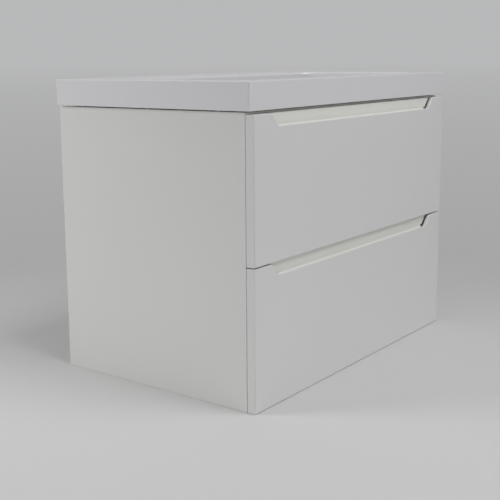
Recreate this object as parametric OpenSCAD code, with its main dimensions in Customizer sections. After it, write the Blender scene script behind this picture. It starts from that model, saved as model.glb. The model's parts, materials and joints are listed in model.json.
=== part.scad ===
// Wall-hung washbasin cabinet with two drawers and a slab washbasin on top.
// Millimetres, +Z up, the drawer fronts face -Y. The origin lies at the height of the
// cabinet's lower edge, under the middle of the whole unit.

/* [Washbasin] */
// Width of the washbasin
basin_w = 750; // [680:10:900]
// Depth of the washbasin, front to back
basin_d = 470; // [420:5:520]
// Height of the washbasin's outer edge
basin_h = 50; // [42:1:70]
// Radius of the washbasin's four corners, seen from above
basin_corner_r = 3; // [1:0.5:6]
// Thickness of the deck round the bowl
deck_t = 15; // [12:1:20]
// Width of the flat rim underneath, at the front and the sides
rim_w = 30; // [27:1:36]
// Width of the flat rim underneath, at the back
rim_back_w = 42; // [36:1:60]
// Height of the pads between the cabinet and the washbasin
pad_h = 2.5; // [2:0.5:5]
// Radius of those pads
pad_r = 5; // [3:0.5:7]

/* [Bowl] */
// Deck left and right of the bowl
bowl_side = 55; // [50:1:110]
// Deck in front of the bowl
bowl_front = 40; // [38:1:60]
// Deck behind the bowl, where the tap stands
bowl_back = 136; // [125:1:160]
// Depth of the bowl at its edge
bowl_depth = 110; // [95:1:120]
// How much further down the bowl's floor is at the waste
bowl_fall = 5; // [3:1:8]
// Wall of the bowl
bowl_wall = 12; // [9:1:15]
// Radius of the bowl's upright corners at the top
bowl_corner_r = 45; // [35:1:60]
// Radius between the bowl's walls and its floor
bowl_floor_r = 28; // [20:1:34]
// How much the bowl narrows downwards at each side
bowl_draft = 16; // [8:1:30]
// Distance of the waste from the bowl's back wall
waste_from_back = 85; // [75:1:110]
// Radius of the tap hole
tap_hole_r = 17.5; // [16:0.5:18]
// Distance of the tap hole from the washbasin's back edge
tap_from_back = 62; // [58:1:75]

/* [Waste and overflow] */
// Radius of the waste hole in the bowl
waste_hole_r = 23; // [22:0.5:25]
// Radius of the waste's threaded tail
tail_r = 20.95; // [18:0.05:21]
// Length of the tail below the bowl's collar
tail_len = 52; // [40:1:60]
// Radius of the waste's flange
flange_r = 32; // [29:0.5:34]
// Thickness of the waste's flange
flange_t = 3; // [2:0.5:4]
// Height of the plug's cap
plug_h = 6; // [4:0.5:8]
// Travel of the plug from closed to open
plug_travel = 8; // [5:0.5:10]
// Radius of the overflow hole
overflow_r = 11; // [9:0.5:12]
// Depth of the overflow hole's centre below the top
overflow_drop = 42; // [38:1:48]

/* [Cabinet] */
// Height of the washbasin's underside
cabinet_h = 535; // [515:5:600]
// How far the washbasin stands past the cabinet at each side
overhang = 8; // [4:1:14]
// Thickness of the cabinet's boards
board_t = 18; // [16:1:20]
// Height of the upper back rail
back_rail_top_h = 90; // [85:1:110]
// Height of the lower back rail
back_rail_bottom_h = 80; // [65:1:110]
// Depth of the rail between the drawers
middle_rail_d = 80; // [70:1:110]
// Height of the upper front rail
front_rail_h = 60; // [50:1:75]
// Space behind the back rails for the wall fixings
wall_space = 20; // [19:1:24]

/* [Drawer fronts] */
// Thickness of the fronts
front_t = 18; // [16:1:20]
// How far the fronts stand in front of the washbasin
front_proud = 4; // [1:0.5:8]
// Gap between the fronts and the cabinet's edges
front_gap = 1.5; // [1.5:0.5:4]
// Gap between the upper and the lower front
between_fronts = 2.5; // [2:0.5:5]
// Gap between the upper front and the washbasin
top_gap = 6; // [4:0.5:10]
// How far the lower front ends above the cabinet's lower edge
front_lift = 0.5; // [0.5:0.5:4]

/* [Finger recess] */
// Height of the recess in a front's upper edge
recess_h = 22.5; // [18:0.5:30]
// Distance of the recess's upper corners from the front's side edge
recess_top_in = 54; // [40:1:80]
// Distance of the recess's lower corners from the front's side edge
recess_bottom_in = 74; // [68:1:110]
// How far the grip strip lies behind the front's face
recess_d = 8.5; // [7:0.5:11]
// Flat top of the lip
lip_land = 2.5; // [1.5:0.5:3.5]
// Height of the lip above the toe of the grip strip's cove
lip_h = 2.5; // [1:0.5:4]
// Depth of the grip strip's foot below the lip
foot_h = 8; // [6:0.5:14]
// Radius of the recess's upper shoulders
shoulder_r = 12; // [6:1:18]
// Radius of the recess's lower corners
recess_corner_r = 4; // [2:0.5:8]
// Slit between the grip strip's ends and the front, measured along the front
grip_slit = 3; // [1:0.5:4]

/* [Drawer boxes] */
// Thickness of the drawer's sides, front and back
box_t = 15; // [12:1:16]
// Thickness of the drawer's bottom
box_bottom_t = 8; // [5:1:12]
// How far the bottom reaches into the drawer's sides
groove_d = 7; // [4:1:8]
// Height of the upper drawer's sides
upper_box_h = 130; // [100:5:135]
// Height of the lower drawer's sides
lower_box_h = 185; // [120:5:200]
// Space between the drawer's sides and the cabinet
box_gap = 5; // [4.5:0.5:8]
// Half the width of the upper drawer's cut-out for the waste
cutout_half_w = 80; // [60:5:110]
// How far that cut-out reaches in front of the waste's centre
cutout_ahead = 65; // [50:1:80]
// Thickness of the walls round the cut-out
cutout_wall_t = 12; // [9:1:16]

/* [Runners] */
// Space between the runners' back ends and the upper back rail
behind_runner = 13; // [8:1:60]
// Height of the runners above the lower edge of their front
runner_rise = 22; // [20:1:30]
// Thickness of the fixed rail's steel
rail_t = 1.5; // [1:0.1:2]
// Thickness of the sliding members' steel
slide_t = 1.2; // [1:0.1:1.5]
// Clearance between the runner's members
slide_clear = 0.3; // [0.3:0.1:0.5]
// Width of the fixed rail's channel
channel_w = 30; // [26:1:36]
// Height of the fixed rail's channel
channel_h = 15; // [14:0.5:18]
// Height of the fixed rail's screw flange
rail_flange_h = 36; // [30:1:44]

/* [Hidden] */
$fn = 48;
// Facets of the round forms that a hull joins
hull_fn = 32;
// How far a cut runs past the surface that it opens
cut = 1;

// Levels and planes of the whole unit
total_d = basin_d + front_proud;
y_back = total_d / 2;
y_face = -total_d / 2;
y_basin = y_back - basin_d;
y_front_back = y_face + front_t;
y_carcass = y_front_back + front_gap;
y_rail_back = y_back - wall_space;
y_rail_front = y_rail_back - board_t;
cabinet_w = basin_w - 2 * overhang;
x_out = cabinet_w / 2;
x_in = x_out - board_t;
z_under = cabinet_h;
z_top = z_under + basin_h;
z_panel = z_under - pad_h;

// Fronts
front_h = (z_under - top_gap - between_fronts - front_lift) / 2;
z_lower_front = front_lift;
z_upper_front = z_lower_front + front_h + between_fronts;
recess_top_x = x_out - recess_top_in;
recess_bottom_x = x_out - recess_bottom_in;
recess_run = recess_top_x - recess_bottom_x;
foot_x = recess_bottom_x - recess_corner_r;
y_grip = y_face + recess_d;
y_lip = y_face + lip_land;
z_lip = front_h - recess_h;
z_foot = z_lip - foot_h;
toe_flat = 0.5;
cove_r = recess_d - lip_land - toe_flat;

// Middle rail, behind the gap between the fronts
z_middle = z_upper_front - between_fronts / 2;
z_middle_lo = z_middle - board_t / 2;
z_middle_hi = z_middle + board_t / 2;

// Runners, seen on the right-hand side and counted up from the fixed rail's underside
x_box = x_in - box_gap;
x_box_in = x_box - box_t;
channel_gap = 2;
channel_hi = x_box_in - channel_gap;
channel_lo = channel_hi - channel_w;
rail_lip = 5;
slide_lip = 8;
slide_in = rail_t + slide_clear;
carrier_in = slide_in + slide_t + slide_clear;
web_t = 3;
carrier_plate_w = 24;
plate_gap = 2;
z_carrier_top = channel_h + plate_gap + slide_t;
rail_setback = 3;
rail_screw_end = 30;
rail_screw_drop = 12;
y_rail_lo = y_carcass + rail_setback;
y_rail_hi = y_rail_front - behind_runner;
runner_len = y_rail_hi - y_rail_lo;
z_upper_rail = z_upper_front + runner_rise;
z_lower_rail = z_lower_front + runner_rise;

// Bowl
x_bowl = basin_w / 2 - bowl_side;
y_bowl_front = y_basin + bowl_front;
y_bowl_back = y_back - bowl_back;
z_floor = z_top - bowl_depth;
z_waste = z_floor - bowl_fall;
z_shell = z_waste - bowl_wall;
y_waste = y_bowl_back - waste_from_back;
shell_drop = 2;
disc_t = 1;

// Drawer boxes
y_box_front = y_front_back + box_t;
y_box_back = y_front_back + runner_len;
edge_gap = 1;
z_box_side = rail_t + edge_gap;
z_box_floor = z_carrier_top + box_bottom_t;
y_cutout = y_waste - cutout_ahead;
x_cutout = cutout_half_w + cutout_wall_t;
front_screw_in = 60;
front_screw_edge = 25;
x_front_screw = x_box_in - front_screw_in;

// Waste, seated in a recess of the bowl's floor and clamped under a collar
gasket_t = 1.5;
seat_clear = 1;
z_flange = z_waste - flange_t;
z_seat = z_flange - gasket_t;
collar_h = 20;
collar_wall = 11;
collar_r = waste_hole_r + collar_wall;
z_collar = z_shell - collar_h;
washer_t = 4;
nut_h = 10;
nut_r = 31;
nut_sides = 6;
z_washer = z_collar - washer_t;
z_nut = z_washer - nut_h;
z_tail = z_collar - tail_len;
relief_w = 3;
relief_d = 0.8;
tail_wall = 3.4;
hub_r = 7;
hub_h = 12;
spoke_t = 3;
spokes = 3;
stem_r = 4;
stem_clear = 0.1;
plug_clear = 0.3;
plug_rim = 0.8;
thread_clear = 0.1;

// Overflow duct, cast on the outside of the bowl
duct_wall = 6;
duct_d = 12;
duct_w = 28;
duct_reach = 14;
z_overflow = z_top - overflow_drop;
y_duct_lo = y_bowl_back + bowl_wall;
y_duct_hi = y_duct_lo + duct_d;
z_duct_lo = z_collar + duct_wall;
z_duct_hi = z_duct_lo + duct_d - duct_wall / 2;
ring_t = 2.5;
ring_lip = 3.5;
ring_wall = 1.5;
ring_reach = 8;

// Fasteners
peg_clear = 0.1;
dowel_r = 4;
dowel_in_panel = 12;
dowel_in_board = 20;
bolt_r = 3.4;
bolt_in_panel = 11;
bolt_in_board = 30;
cam_r = 7.5;
cam_h = 12;
cam_from_end = 28;
screw_r = 2;
screw_head_r = 4;
screw_head_h = 2;
screw_bite = 12;
point_gap = 1;
bumper_r = 4;
bumper_in = 30;

// Places of the dowels and cam fittings on one end of each board, as [y, z]
z_bottom_mid = board_t / 2;
y_rail_mid = (y_rail_front + y_rail_back) / 2;
y_front_rail = y_carcass + board_t;
y_front_mid = (y_carcass + y_front_rail) / 2;
z_front_rail = z_panel - front_rail_h;
z_back_top_lo = z_panel - back_rail_top_h;
cam_in = 45;
dowel_in = 90;
rail_dowel_in = 14;
rail_cam_in = 36;
middle_cam_in = 22;
middle_dowel_in = 52;
bottom_dowels = [for (y = [y_carcass + dowel_in, y_back - dowel_in]) [y, z_bottom_mid]];
bottom_cams = [for (y = [y_carcass + cam_in, y_back - cam_in]) [y, z_bottom_mid]];
middle_dowels = [[y_carcass + middle_dowel_in, z_middle]];
middle_cams = [[y_carcass + middle_cam_in, z_middle]];
front_dowels = [[y_front_mid, z_front_rail + rail_dowel_in]];
front_cams = [[y_front_mid, z_front_rail + rail_cam_in]];
back_top_dowels = [[y_rail_mid, z_back_top_lo + rail_dowel_in]];
back_top_cams = [[y_rail_mid, z_back_top_lo + rail_cam_in]];
back_bottom_dowels = [[y_rail_mid, board_t + rail_dowel_in]];
back_bottom_cams = [[y_rail_mid, board_t + rail_cam_in]];
all_dowels = concat(bottom_dowels, middle_dowels, front_dowels, back_top_dowels,
                    back_bottom_dowels);
flat_cams = concat(bottom_cams, middle_cams);
upright_cams = concat(front_cams, back_top_cams, back_bottom_cams);
all_cams = concat(flat_cams, upright_cams);

// Hangers in the upper back corners, seen on the right-hand side
hanger_w = 18;
hanger_d = 48;
hanger_h = 50;
hanger_top_gap = 8;
hook_t = 2.5;
hook_w = 12;
hook_drop = 12;
hook_below = 18;
hook_wall_gap = 2.5;
hook_hold = 38;
slot_spare = 4;
z_hanger_hi = z_panel - hanger_top_gap;
z_hanger_lo = z_hanger_hi - hanger_h;
z_hook = z_hanger_hi - hook_below;
x_hook = x_in - hanger_w / 2;
y_hook_tip = y_back - hook_wall_gap;
plate_t = 2;
plate_w = 60;
plate_side = 3;
plate_off = 6.5;
plate_step_drop = 18;
plate_tail = 32;
plate_hole_r = 3.25;
plate_hole_span = 36;
x_plate = x_in - plate_side - plate_w / 2;
z_plate_edge = z_hook - hook_t;
z_plate_step = z_plate_edge - plate_step_drop;
z_plate_hole = z_plate_step - plate_t - plate_tail / 2;
adjuster_r = 4;
adjuster_out = 2.5;
adjuster_in = 10;
adjuster_z = [12, 38];
hanger_screw_in = 10;
hanger_screw_y = 30;

// ---------------------------------------------------------------- shared shapes

// A box from its lowest to its highest corner
module block(lo, hi) {
    translate(lo) cube(hi - lo);
}

// The children and their mirror image on the left
module both_sides() {
    children();
    mirror([1, 0, 0]) children();
}

// The children, drawn for the right, on the right (1) or on the left (-1)
module on_side(side) {
    if (side > 0) children();
    else mirror([1, 0, 0]) children();
}

module rod_x(x_lo, x_hi, y, z, r) {
    translate([x_lo, y, z]) rotate([0, 90, 0]) cylinder(r = r, h = x_hi - x_lo);
}

module rod_y(y_lo, y_hi, x, z, r) {
    translate([x, y_hi, z]) rotate([90, 0, 0]) cylinder(r = r, h = y_hi - y_lo);
}

module rod_z(z_lo, z_hi, x, y, r) {
    translate([x, y, z_lo]) cylinder(r = r, h = z_hi - z_lo);
}

// An outline in x and z, drawn out along y
module along_y(y_lo, y_hi) {
    translate([0, y_hi, 0]) rotate([90, 0, 0]) linear_extrude(y_hi - y_lo) children();
}

// An outline in y and z, drawn out along x
module along_x(x_lo, x_hi) {
    translate([x_lo, 0, 0]) rotate([90, 0, 90]) linear_extrude(x_hi - x_lo) children();
}

module rect(x_lo, x_hi, y_lo, y_hi) {
    translate([x_lo, y_lo]) square([x_hi - x_lo, y_hi - y_lo]);
}

module rounded_rect(x_lo, x_hi, y_lo, y_hi, r) {
    rect(x_lo + r, x_hi - r, y_lo, y_hi);
    rect(x_lo, x_hi, y_lo + r, y_hi - r);
    for (x = [x_lo + r, x_hi - r], y = [y_lo + r, y_hi - r]) translate([x, y]) circle(r);
}

// The sliver outside an arc of radius r that is tangent to two edges leaving a corner
module corner_sliver(corner, along_a, along_b, r) {
    a = along_a / norm(along_a);
    b = along_b / norm(along_b);
    half = acos(a * b) / 2;
    reach = r / tan(half);
    centre = corner + (a + b) / norm(a + b) * r / sin(half);
    difference() {
        polygon([corner, corner + a * reach, centre, corner + b * reach]);
        translate(centre) circle(r);
    }
}

// A screw that lies along +x, its head on the plane x = x_seat and its point further out
module screw_x(x_seat, y, z, bite, r, head_r, head_h) {
    rod_x(x_seat - head_h, x_seat, y, z, head_r);
    rod_x(x_seat, x_seat + bite, y, z, r);
}

// ---------------------------------------------------------------- washbasin

// Space enclosed by the bowl, or by its shell when grown outwards by a wall
module bowl_form(grow, z_low, z_high) {
    corner = bowl_corner_r + grow;
    floor_r = bowl_floor_r + grow;
    ball_r = floor_r / cos(180 / hull_fn);
    x_hi = x_bowl + grow;
    y_lo = y_bowl_front - grow;
    y_hi = y_bowl_back + grow;
    hull() {
        for (x = [-x_hi + corner, x_hi - corner], y = [y_lo + corner, y_hi - corner])
            translate([x, y, z_high - disc_t])
                cylinder(r = corner, h = disc_t, $fn = hull_fn);
        for (side = [-1, 1], y = [y_lo + bowl_draft + floor_r, y_hi - floor_r])
            translate([side * (x_hi - bowl_draft - floor_r), y, z_low + floor_r])
                sphere(r = ball_r, $fn = hull_fn);
    }
}

// Gentle fall of the bowl's floor towards the waste
module floor_fall() {
    x_fall = x_bowl - bowl_draft - bowl_floor_r;
    y_fall_lo = y_bowl_front + bowl_draft + bowl_floor_r;
    y_fall_hi = y_bowl_back - bowl_floor_r;
    hull() {
        for (x = [-x_fall, x_fall], y = [y_fall_lo, y_fall_hi])
            translate([x, y, z_floor]) cylinder(r = disc_t, h = disc_t, $fn = hull_fn);
        rod_z(z_waste, z_waste + disc_t, 0, y_waste, flange_r + seat_clear);
    }
}

module overflow_duct() {
    block([-duct_w / 2 - duct_wall, y_waste, z_collar],
          [duct_w / 2 + duct_wall, y_duct_hi + duct_wall, z_duct_hi + duct_wall]);
    block([-duct_w / 2 - duct_wall, y_bowl_back + cut, z_collar],
          [duct_w / 2 + duct_wall, y_duct_hi + duct_wall, z_overflow + duct_reach + duct_wall]);
}

module overflow_channel() {
    block([-duct_w / 2, y_waste, z_duct_lo], [duct_w / 2, y_duct_hi, z_duct_hi]);
    block([-duct_w / 2, y_duct_lo, z_duct_lo],
          [duct_w / 2, y_duct_hi, z_overflow + duct_reach]);
}

module washbasin() {
    x_hi = basin_w / 2;
    color([0.93, 0.93, 0.95])
    difference() {
        union() {
            difference() {
                translate([0, 0, z_under]) linear_extrude(basin_h)
                    rounded_rect(-x_hi, x_hi, y_basin, y_back, basin_corner_r);
                block([-x_hi + rim_w, y_basin + rim_w, z_under - cut],
                      [x_hi - rim_w, y_back - rim_back_w, z_top - deck_t]);
            }
            bowl_form(bowl_wall, z_shell, z_top - shell_drop);
            rod_z(z_collar, z_waste, 0, y_waste, collar_r);
            overflow_duct();
        }
        bowl_form(0, z_floor, z_top + cut);
        floor_fall();
        rod_z(z_collar - cut, z_top, 0, y_waste, waste_hole_r);
        rod_z(z_seat, z_top, 0, y_waste, flange_r + seat_clear);
        rod_z(z_under, z_top + cut, 0, y_back - tap_from_back, tap_hole_r);
        rod_y(y_bowl_back - cut, y_duct_lo + cut, 0, z_overflow, overflow_r);
        overflow_channel();
    }
}

// Soft pads between the cabinet's upper edges and the washbasin's rim
module basin_pads() {
    pad_in = 60;
    pad_x = (x_out + x_in) / 2;
    pad_back_x = x_in - 2 * hanger_w - plate_w;
    color([0.86, 0.86, 0.84])
    both_sides() {
        for (y = [y_carcass + pad_in, (y_carcass + y_back) / 2, y_back - pad_in])
            rod_z(z_panel, z_under, pad_x, y, pad_r);
        rod_z(z_panel, z_under, pad_back_x, y_rail_mid, pad_r);
    }
}

module overflow_ring() {
    color([0.80, 0.81, 0.83])
    difference() {
        union() {
            rod_y(y_bowl_back - ring_t, y_bowl_back, 0, z_overflow, overflow_r + ring_lip);
            rod_y(y_bowl_back, y_bowl_back + ring_reach, 0, z_overflow,
                  overflow_r - peg_clear);
        }
        rod_y(y_bowl_back - ring_t - cut, y_bowl_back + ring_reach + cut, 0, z_overflow,
              overflow_r - peg_clear - ring_wall);
    }
}

// Waste with its flange, its threaded tail and the hub that guides the plug. A turned
// groove below the nut parts the trap's thread from the nut's.
module waste_body() {
    inner_r = tail_r - tail_wall;
    color([0.80, 0.81, 0.83])
    translate([0, y_waste, 0]) {
        difference() {
            union() {
                rod_z(z_flange, z_waste, 0, 0, flange_r);
                rod_z(z_tail, z_waste, 0, 0, tail_r);
            }
            rod_z(z_tail - cut, z_waste + cut, 0, 0, inner_r);
            block([-duct_w / 2, -tail_r - cut, z_duct_lo], [duct_w / 2, tail_r + cut, z_duct_hi]);
            difference() {
                rod_z(z_nut - relief_w, z_nut, 0, 0, tail_r + cut);
                rod_z(z_nut - relief_w - cut, z_nut + cut, 0, 0, tail_r - relief_d);
            }
        }
        difference() {
            union() {
                rod_z(z_flange - hub_h, z_flange, 0, 0, hub_r);
                for (turn = [0 : spokes - 1])
                    rotate([0, 0, turn * 360 / spokes + 90])
                        translate([0, -spoke_t / 2, z_flange - hub_h])
                            cube([inner_r + tail_wall / 2, spoke_t, hub_h]);
            }
            rod_z(z_tail, z_waste, 0, 0, stem_r + stem_clear);
        }
    }
}

// Flat seal under the flange and thick washer under the collar
module waste_gaskets() {
    color([0.16, 0.16, 0.17])
    translate([0, y_waste, 0])
    for (ring = [[z_seat, z_flange, flange_r], [z_washer, z_collar, collar_r]])
        difference() {
            rod_z(ring[0], ring[1], 0, 0, ring[2]);
            rod_z(ring[0] - cut, ring[1] + cut, 0, 0, tail_r + thread_clear);
        }
}

module waste_nut() {
    color([0.72, 0.62, 0.38])
    translate([0, y_waste, 0])
    difference() {
        translate([0, 0, z_nut]) cylinder(r = nut_r, h = nut_h, $fn = nut_sides);
        rod_z(z_nut - cut, z_washer + cut, 0, 0, tail_r + thread_clear);
    }
}

// Cap and stem of the push plug, drawn closed
module waste_plug() {
    cap_r = flange_r - plug_rim;
    z_cap = z_waste + plug_clear;
    bottom = z_flange - hub_h;
    color([0.80, 0.81, 0.83])
    translate([0, y_waste, 0]) {
        rod_z(z_cap, z_cap + plug_h, 0, 0, cap_r);
        rod_z(bottom - plug_travel / 2, z_cap, 0, 0, stem_r);
    }
}

// ---------------------------------------------------------------- cabinet

// Holes for dowels and cam bolts in the inner face of a side panel
module panel_holes() {
    for (p = all_dowels)
        rod_x(x_in - cut, x_in + dowel_in_panel, p[0], p[1], dowel_r + peg_clear);
    for (p = all_cams)
        rod_x(x_in - cut, x_in + bolt_in_panel, p[0], p[1], bolt_r + peg_clear);
    for (p = rail_screw_places())
        rod_x(x_in - cut, x_in + screw_bite - rail_t, p[0], p[1], screw_r + peg_clear);
    for (p = hanger_screw_places())
        rod_x(x_in - cut, x_in + screw_bite, p[0], p[1], screw_r + peg_clear);
}

module side_panel(side) {
    color([0.91, 0.91, 0.89])
    on_side(side) difference() {
        block([x_in, y_carcass, 0], [x_out, y_back, z_panel]);
        panel_holes();
    }
}

// Holes for dowels, cam bolts and cam locks in the ends of a board
module end_holes(dowels, cams, upright) {
    both_sides() {
        for (p = dowels)
            rod_x(x_in - dowel_in_board, x_in + cut, p[0], p[1], dowel_r + peg_clear);
        for (p = cams) {
            rod_x(x_in - bolt_in_board, x_in + cut, p[0], p[1], bolt_r + peg_clear);
            cam_drum(p, upright, peg_clear, 1);
        }
    }
}

// A cam lock's drum, let into a flat board from its underside and into an upright board
// from its back
module cam_drum(p, upright, grow, past) {
    if (upright)
        rod_y(p[0] + board_t / 2 - cam_h - grow, p[0] + board_t / 2 + past,
              x_in - cam_from_end, p[1], cam_r + grow);
    else
        rod_z(p[1] - board_t / 2 - past, p[1] - board_t / 2 + cam_h + grow,
              x_in - cam_from_end, p[0], cam_r + grow);
}

module bottom_panel() {
    color([0.90, 0.90, 0.88])
    difference() {
        block([-x_in, y_carcass, 0], [x_in, y_back, board_t]);
        end_holes(bottom_dowels, bottom_cams, false);
    }
}

module middle_rail() {
    color([0.90, 0.90, 0.88])
    difference() {
        block([-x_in, y_carcass, z_middle_lo], [x_in, y_carcass + middle_rail_d, z_middle_hi]);
        end_holes(middle_dowels, middle_cams, false);
    }
}

// Upright rail behind the gap between the upper front and the washbasin
module front_rail() {
    color([0.90, 0.90, 0.88])
    difference() {
        block([-x_in, y_carcass, z_front_rail], [x_in, y_front_rail, z_panel]);
        end_holes(front_dowels, front_cams, true);
    }
}

// Upper back rail, with a slot at each end that the hanger's hook passes through
module back_rail_top() {
    color([0.90, 0.90, 0.88])
    difference() {
        block([-x_in, y_rail_front, z_back_top_lo], [x_in, y_rail_back, z_panel]);
        end_holes(back_top_dowels, back_top_cams, true);
        both_sides() block([x_hook - hook_w / 2 - slot_spare, y_rail_front - cut,
                            z_hook - hook_t - slot_spare],
                           [x_in + cut, y_rail_back + cut, z_hook + slot_spare]);
    }
}

module back_rail_bottom() {
    color([0.90, 0.90, 0.88])
    difference() {
        block([-x_in, y_rail_front, board_t], [x_in, y_rail_back, board_t + back_rail_bottom_h]);
        end_holes(back_bottom_dowels, back_bottom_cams, true);
    }
}

module dowels() {
    end_gap = 0.5;
    color([0.80, 0.66, 0.45])
    both_sides()
        for (p = all_dowels)
            rod_x(x_in - dowel_in_board + end_gap, x_in + dowel_in_panel - end_gap,
                  p[0], p[1], dowel_r);
}

module cam_bolts() {
    end_gap = 0.5;
    color([0.62, 0.63, 0.65])
    both_sides()
        for (p = all_cams)
            rod_x(x_in - cam_from_end + bolt_r, x_in + bolt_in_panel - end_gap,
                  p[0], p[1], bolt_r);
}

// Drums with the mouth that takes the bolt's head, and a cross slot for the screwdriver
module cam_locks() {
    slot_w = 1.6;
    slot_len = 10;
    slot_d = 2;
    color([0.70, 0.71, 0.73])
    both_sides() {
        for (p = flat_cams)
            difference() {
                cam_drum(p, false, 0, 0);
                rod_x(x_in - cam_from_end, x_in, p[0], p[1], bolt_r + peg_clear);
                for (turn = [0, 90])
                    translate([x_in - cam_from_end, p[0], p[1] - board_t / 2])
                        rotate([0, 0, turn])
                            cube([slot_len, slot_w, 2 * slot_d], center = true);
            }
        for (p = upright_cams)
            difference() {
                cam_drum(p, true, 0, 0);
                rod_x(x_in - cam_from_end, x_in, p[0], p[1], bolt_r + peg_clear);
                for (turn = [0, 90])
                    translate([x_in - cam_from_end, p[0] + board_t / 2, p[1]])
                        rotate([0, turn, 0])
                            cube([slot_len, 2 * slot_d, slot_w], center = true);
            }
    }
}

// Soft stops on the cabinet's front edges, two for each end of each front
module front_bumpers() {
    rest_gap = 0.3;
    bumper_x = (x_out + x_in) / 2;
    color([0.86, 0.86, 0.84])
    both_sides()
        for (z_front = [z_lower_front, z_upper_front],
             z = [z_front + bumper_in, z_front + front_h - bumper_in])
            rod_y(y_front_back + rest_gap, y_carcass, bumper_x, z, bumper_r);
}

// ---------------------------------------------------------------- wall hangers

function hanger_screw_places() =
    [for (z = [z_hanger_lo + hanger_screw_in, z_hanger_hi - hanger_screw_in])
        [y_rail_front - hanger_d + hanger_screw_y, z]];

module hook_bar(grow) {
    block([x_hook - hook_w / 2 - grow, y_rail_front - hook_hold - grow, z_hook - hook_t - grow],
          [x_hook + hook_w / 2 + grow, y_hook_tip, z_hook + grow]);
}

// Housing that holds the hook and its adjusting screws
module hanger(side) {
    color([0.85, 0.85, 0.84])
    on_side(side) difference() {
        block([x_in - hanger_w, y_rail_front - hanger_d, z_hanger_lo],
              [x_in, y_rail_front, z_hanger_hi]);
        hook_bar(peg_clear);
        for (p = hanger_screw_places()) {
            rod_x(x_in - hanger_w - cut, x_in + cut, p[0], p[1], screw_r + peg_clear);
            rod_x(x_in - hanger_w - cut, x_in - hanger_w + screw_head_h, p[0], p[1],
                  screw_head_r + peg_clear);
        }
        for (z = adjuster_z)
            rod_y(y_rail_front - hanger_d - cut, y_rail_front - hanger_d + adjuster_in,
                  x_hook, z_hanger_lo + z, adjuster_r + peg_clear);
    }
}

// Steel hooks that hang over the wall plates
module hooks() {
    color([0.66, 0.67, 0.69])
    both_sides() {
        hook_bar(0);
        block([x_hook - hook_w / 2, y_hook_tip - hook_t, z_hook - hook_t - hook_drop],
              [x_hook + hook_w / 2, y_hook_tip, z_hook - hook_t]);
    }
}

// Stepped steel plate, screwed to the wall, whose upper edge carries the hook
module wall_plate(side) {
    x_lo = x_plate - plate_w / 2;
    x_hi = x_plate + plate_w / 2;
    y_upper = y_back - plate_t - plate_off;
    color([0.66, 0.67, 0.69])
    on_side(side) difference() {
        union() {
            block([x_lo, y_upper, z_plate_step], [x_hi, y_upper + plate_t, z_plate_edge]);
            block([x_lo, y_upper, z_plate_step - plate_t], [x_hi, y_back, z_plate_step]);
            block([x_lo, y_back - plate_t, z_plate_step - plate_tail], [x_hi, y_back, z_plate_step]);
        }
        for (d = [-plate_hole_span / 2, plate_hole_span / 2])
            rod_y(y_back - plate_t - cut, y_back + cut, x_plate + d, z_plate_hole, plate_hole_r);
    }
}

module hanger_screws() {
    color([0.62, 0.63, 0.65])
    both_sides()
        for (p = hanger_screw_places()) {
            rod_x(x_in - hanger_w, x_in - hanger_w + screw_head_h, p[0], p[1], screw_head_r);
            rod_x(x_in - hanger_w, x_in + screw_bite - point_gap, p[0], p[1], screw_r);
        }
}

module hanger_adjusters() {
    slot_w = 1.4;
    slot_d = 1.5;
    y_hanger = y_rail_front - hanger_d;
    y_head = y_hanger - adjuster_out;
    color([0.62, 0.63, 0.65])
    both_sides()
        for (z = adjuster_z)
            difference() {
                rod_y(y_head, y_hanger + adjuster_in, x_hook, z_hanger_lo + z, adjuster_r);
                block([x_hook - adjuster_r, y_head - cut, z_hanger_lo + z - slot_w / 2],
                      [x_hook + adjuster_r, y_head + slot_d, z_hanger_lo + z + slot_w / 2]);
            }
}

// ---------------------------------------------------------------- drawer fronts

// Outline of the recess from the front: a trapezoid open at the top
module recess_outline() {
    difference() {
        polygon([[-recess_top_x, front_h], [-recess_bottom_x, front_h - recess_h],
                 [recess_bottom_x, front_h - recess_h], [recess_top_x, front_h],
                 [recess_top_x, front_h + cut], [-recess_top_x, front_h + cut]]);
        for (side = [-1, 1])
            corner_sliver([side * recess_bottom_x, front_h - recess_h], [-side, 0],
                          [side * recess_run, recess_h], recess_corner_r);
    }
    for (side = [-1, 1])
        corner_sliver([side * recess_top_x, front_h], [side, 0],
                      [-side * recess_run, -recess_h], shoulder_r);
}

// Section cut out behind the lip for the grip strip's foot, in y and z
module foot_section() {
    polygon([[y_lip, z_lip + cut], [y_lip, z_lip - lip_h], [y_grip, z_foot],
             [y_front_back + cut, z_foot], [y_front_back + cut, z_lip + cut]]);
}

module drawer_front(z_front, z_rail, box_h) {
    color([0.93, 0.93, 0.93])
    difference() {
        translate([0, 0, z_front]) difference() {
            along_y(y_face, y_front_back) difference() {
                rect(-x_out, x_out, 0, front_h);
                recess_outline();
            }
            along_x(-foot_x, foot_x) foot_section();
        }
        both_sides()
            for (z = front_screw_z(z_rail, box_h))
                rod_y(y_front_back - screw_bite, y_front_back + cut, x_front_screw, z,
                      screw_r + peg_clear);
    }
}

// The strip's outline from the front, a slit inside the front's at its ends
module grip_outline() {
    end_x = foot_x - grip_slit;
    top_x = recess_top_x - grip_slit;
    low_x = recess_bottom_x + grip_slit * recess_run / recess_h - grip_slit;
    z_step = z_lip + grip_slit;
    polygon([[-end_x, z_foot], [end_x, z_foot], [end_x, z_step], [low_x, z_step],
             [top_x, front_h], [-top_x, front_h], [-low_x, z_step], [-end_x, z_step]]);
}

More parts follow.
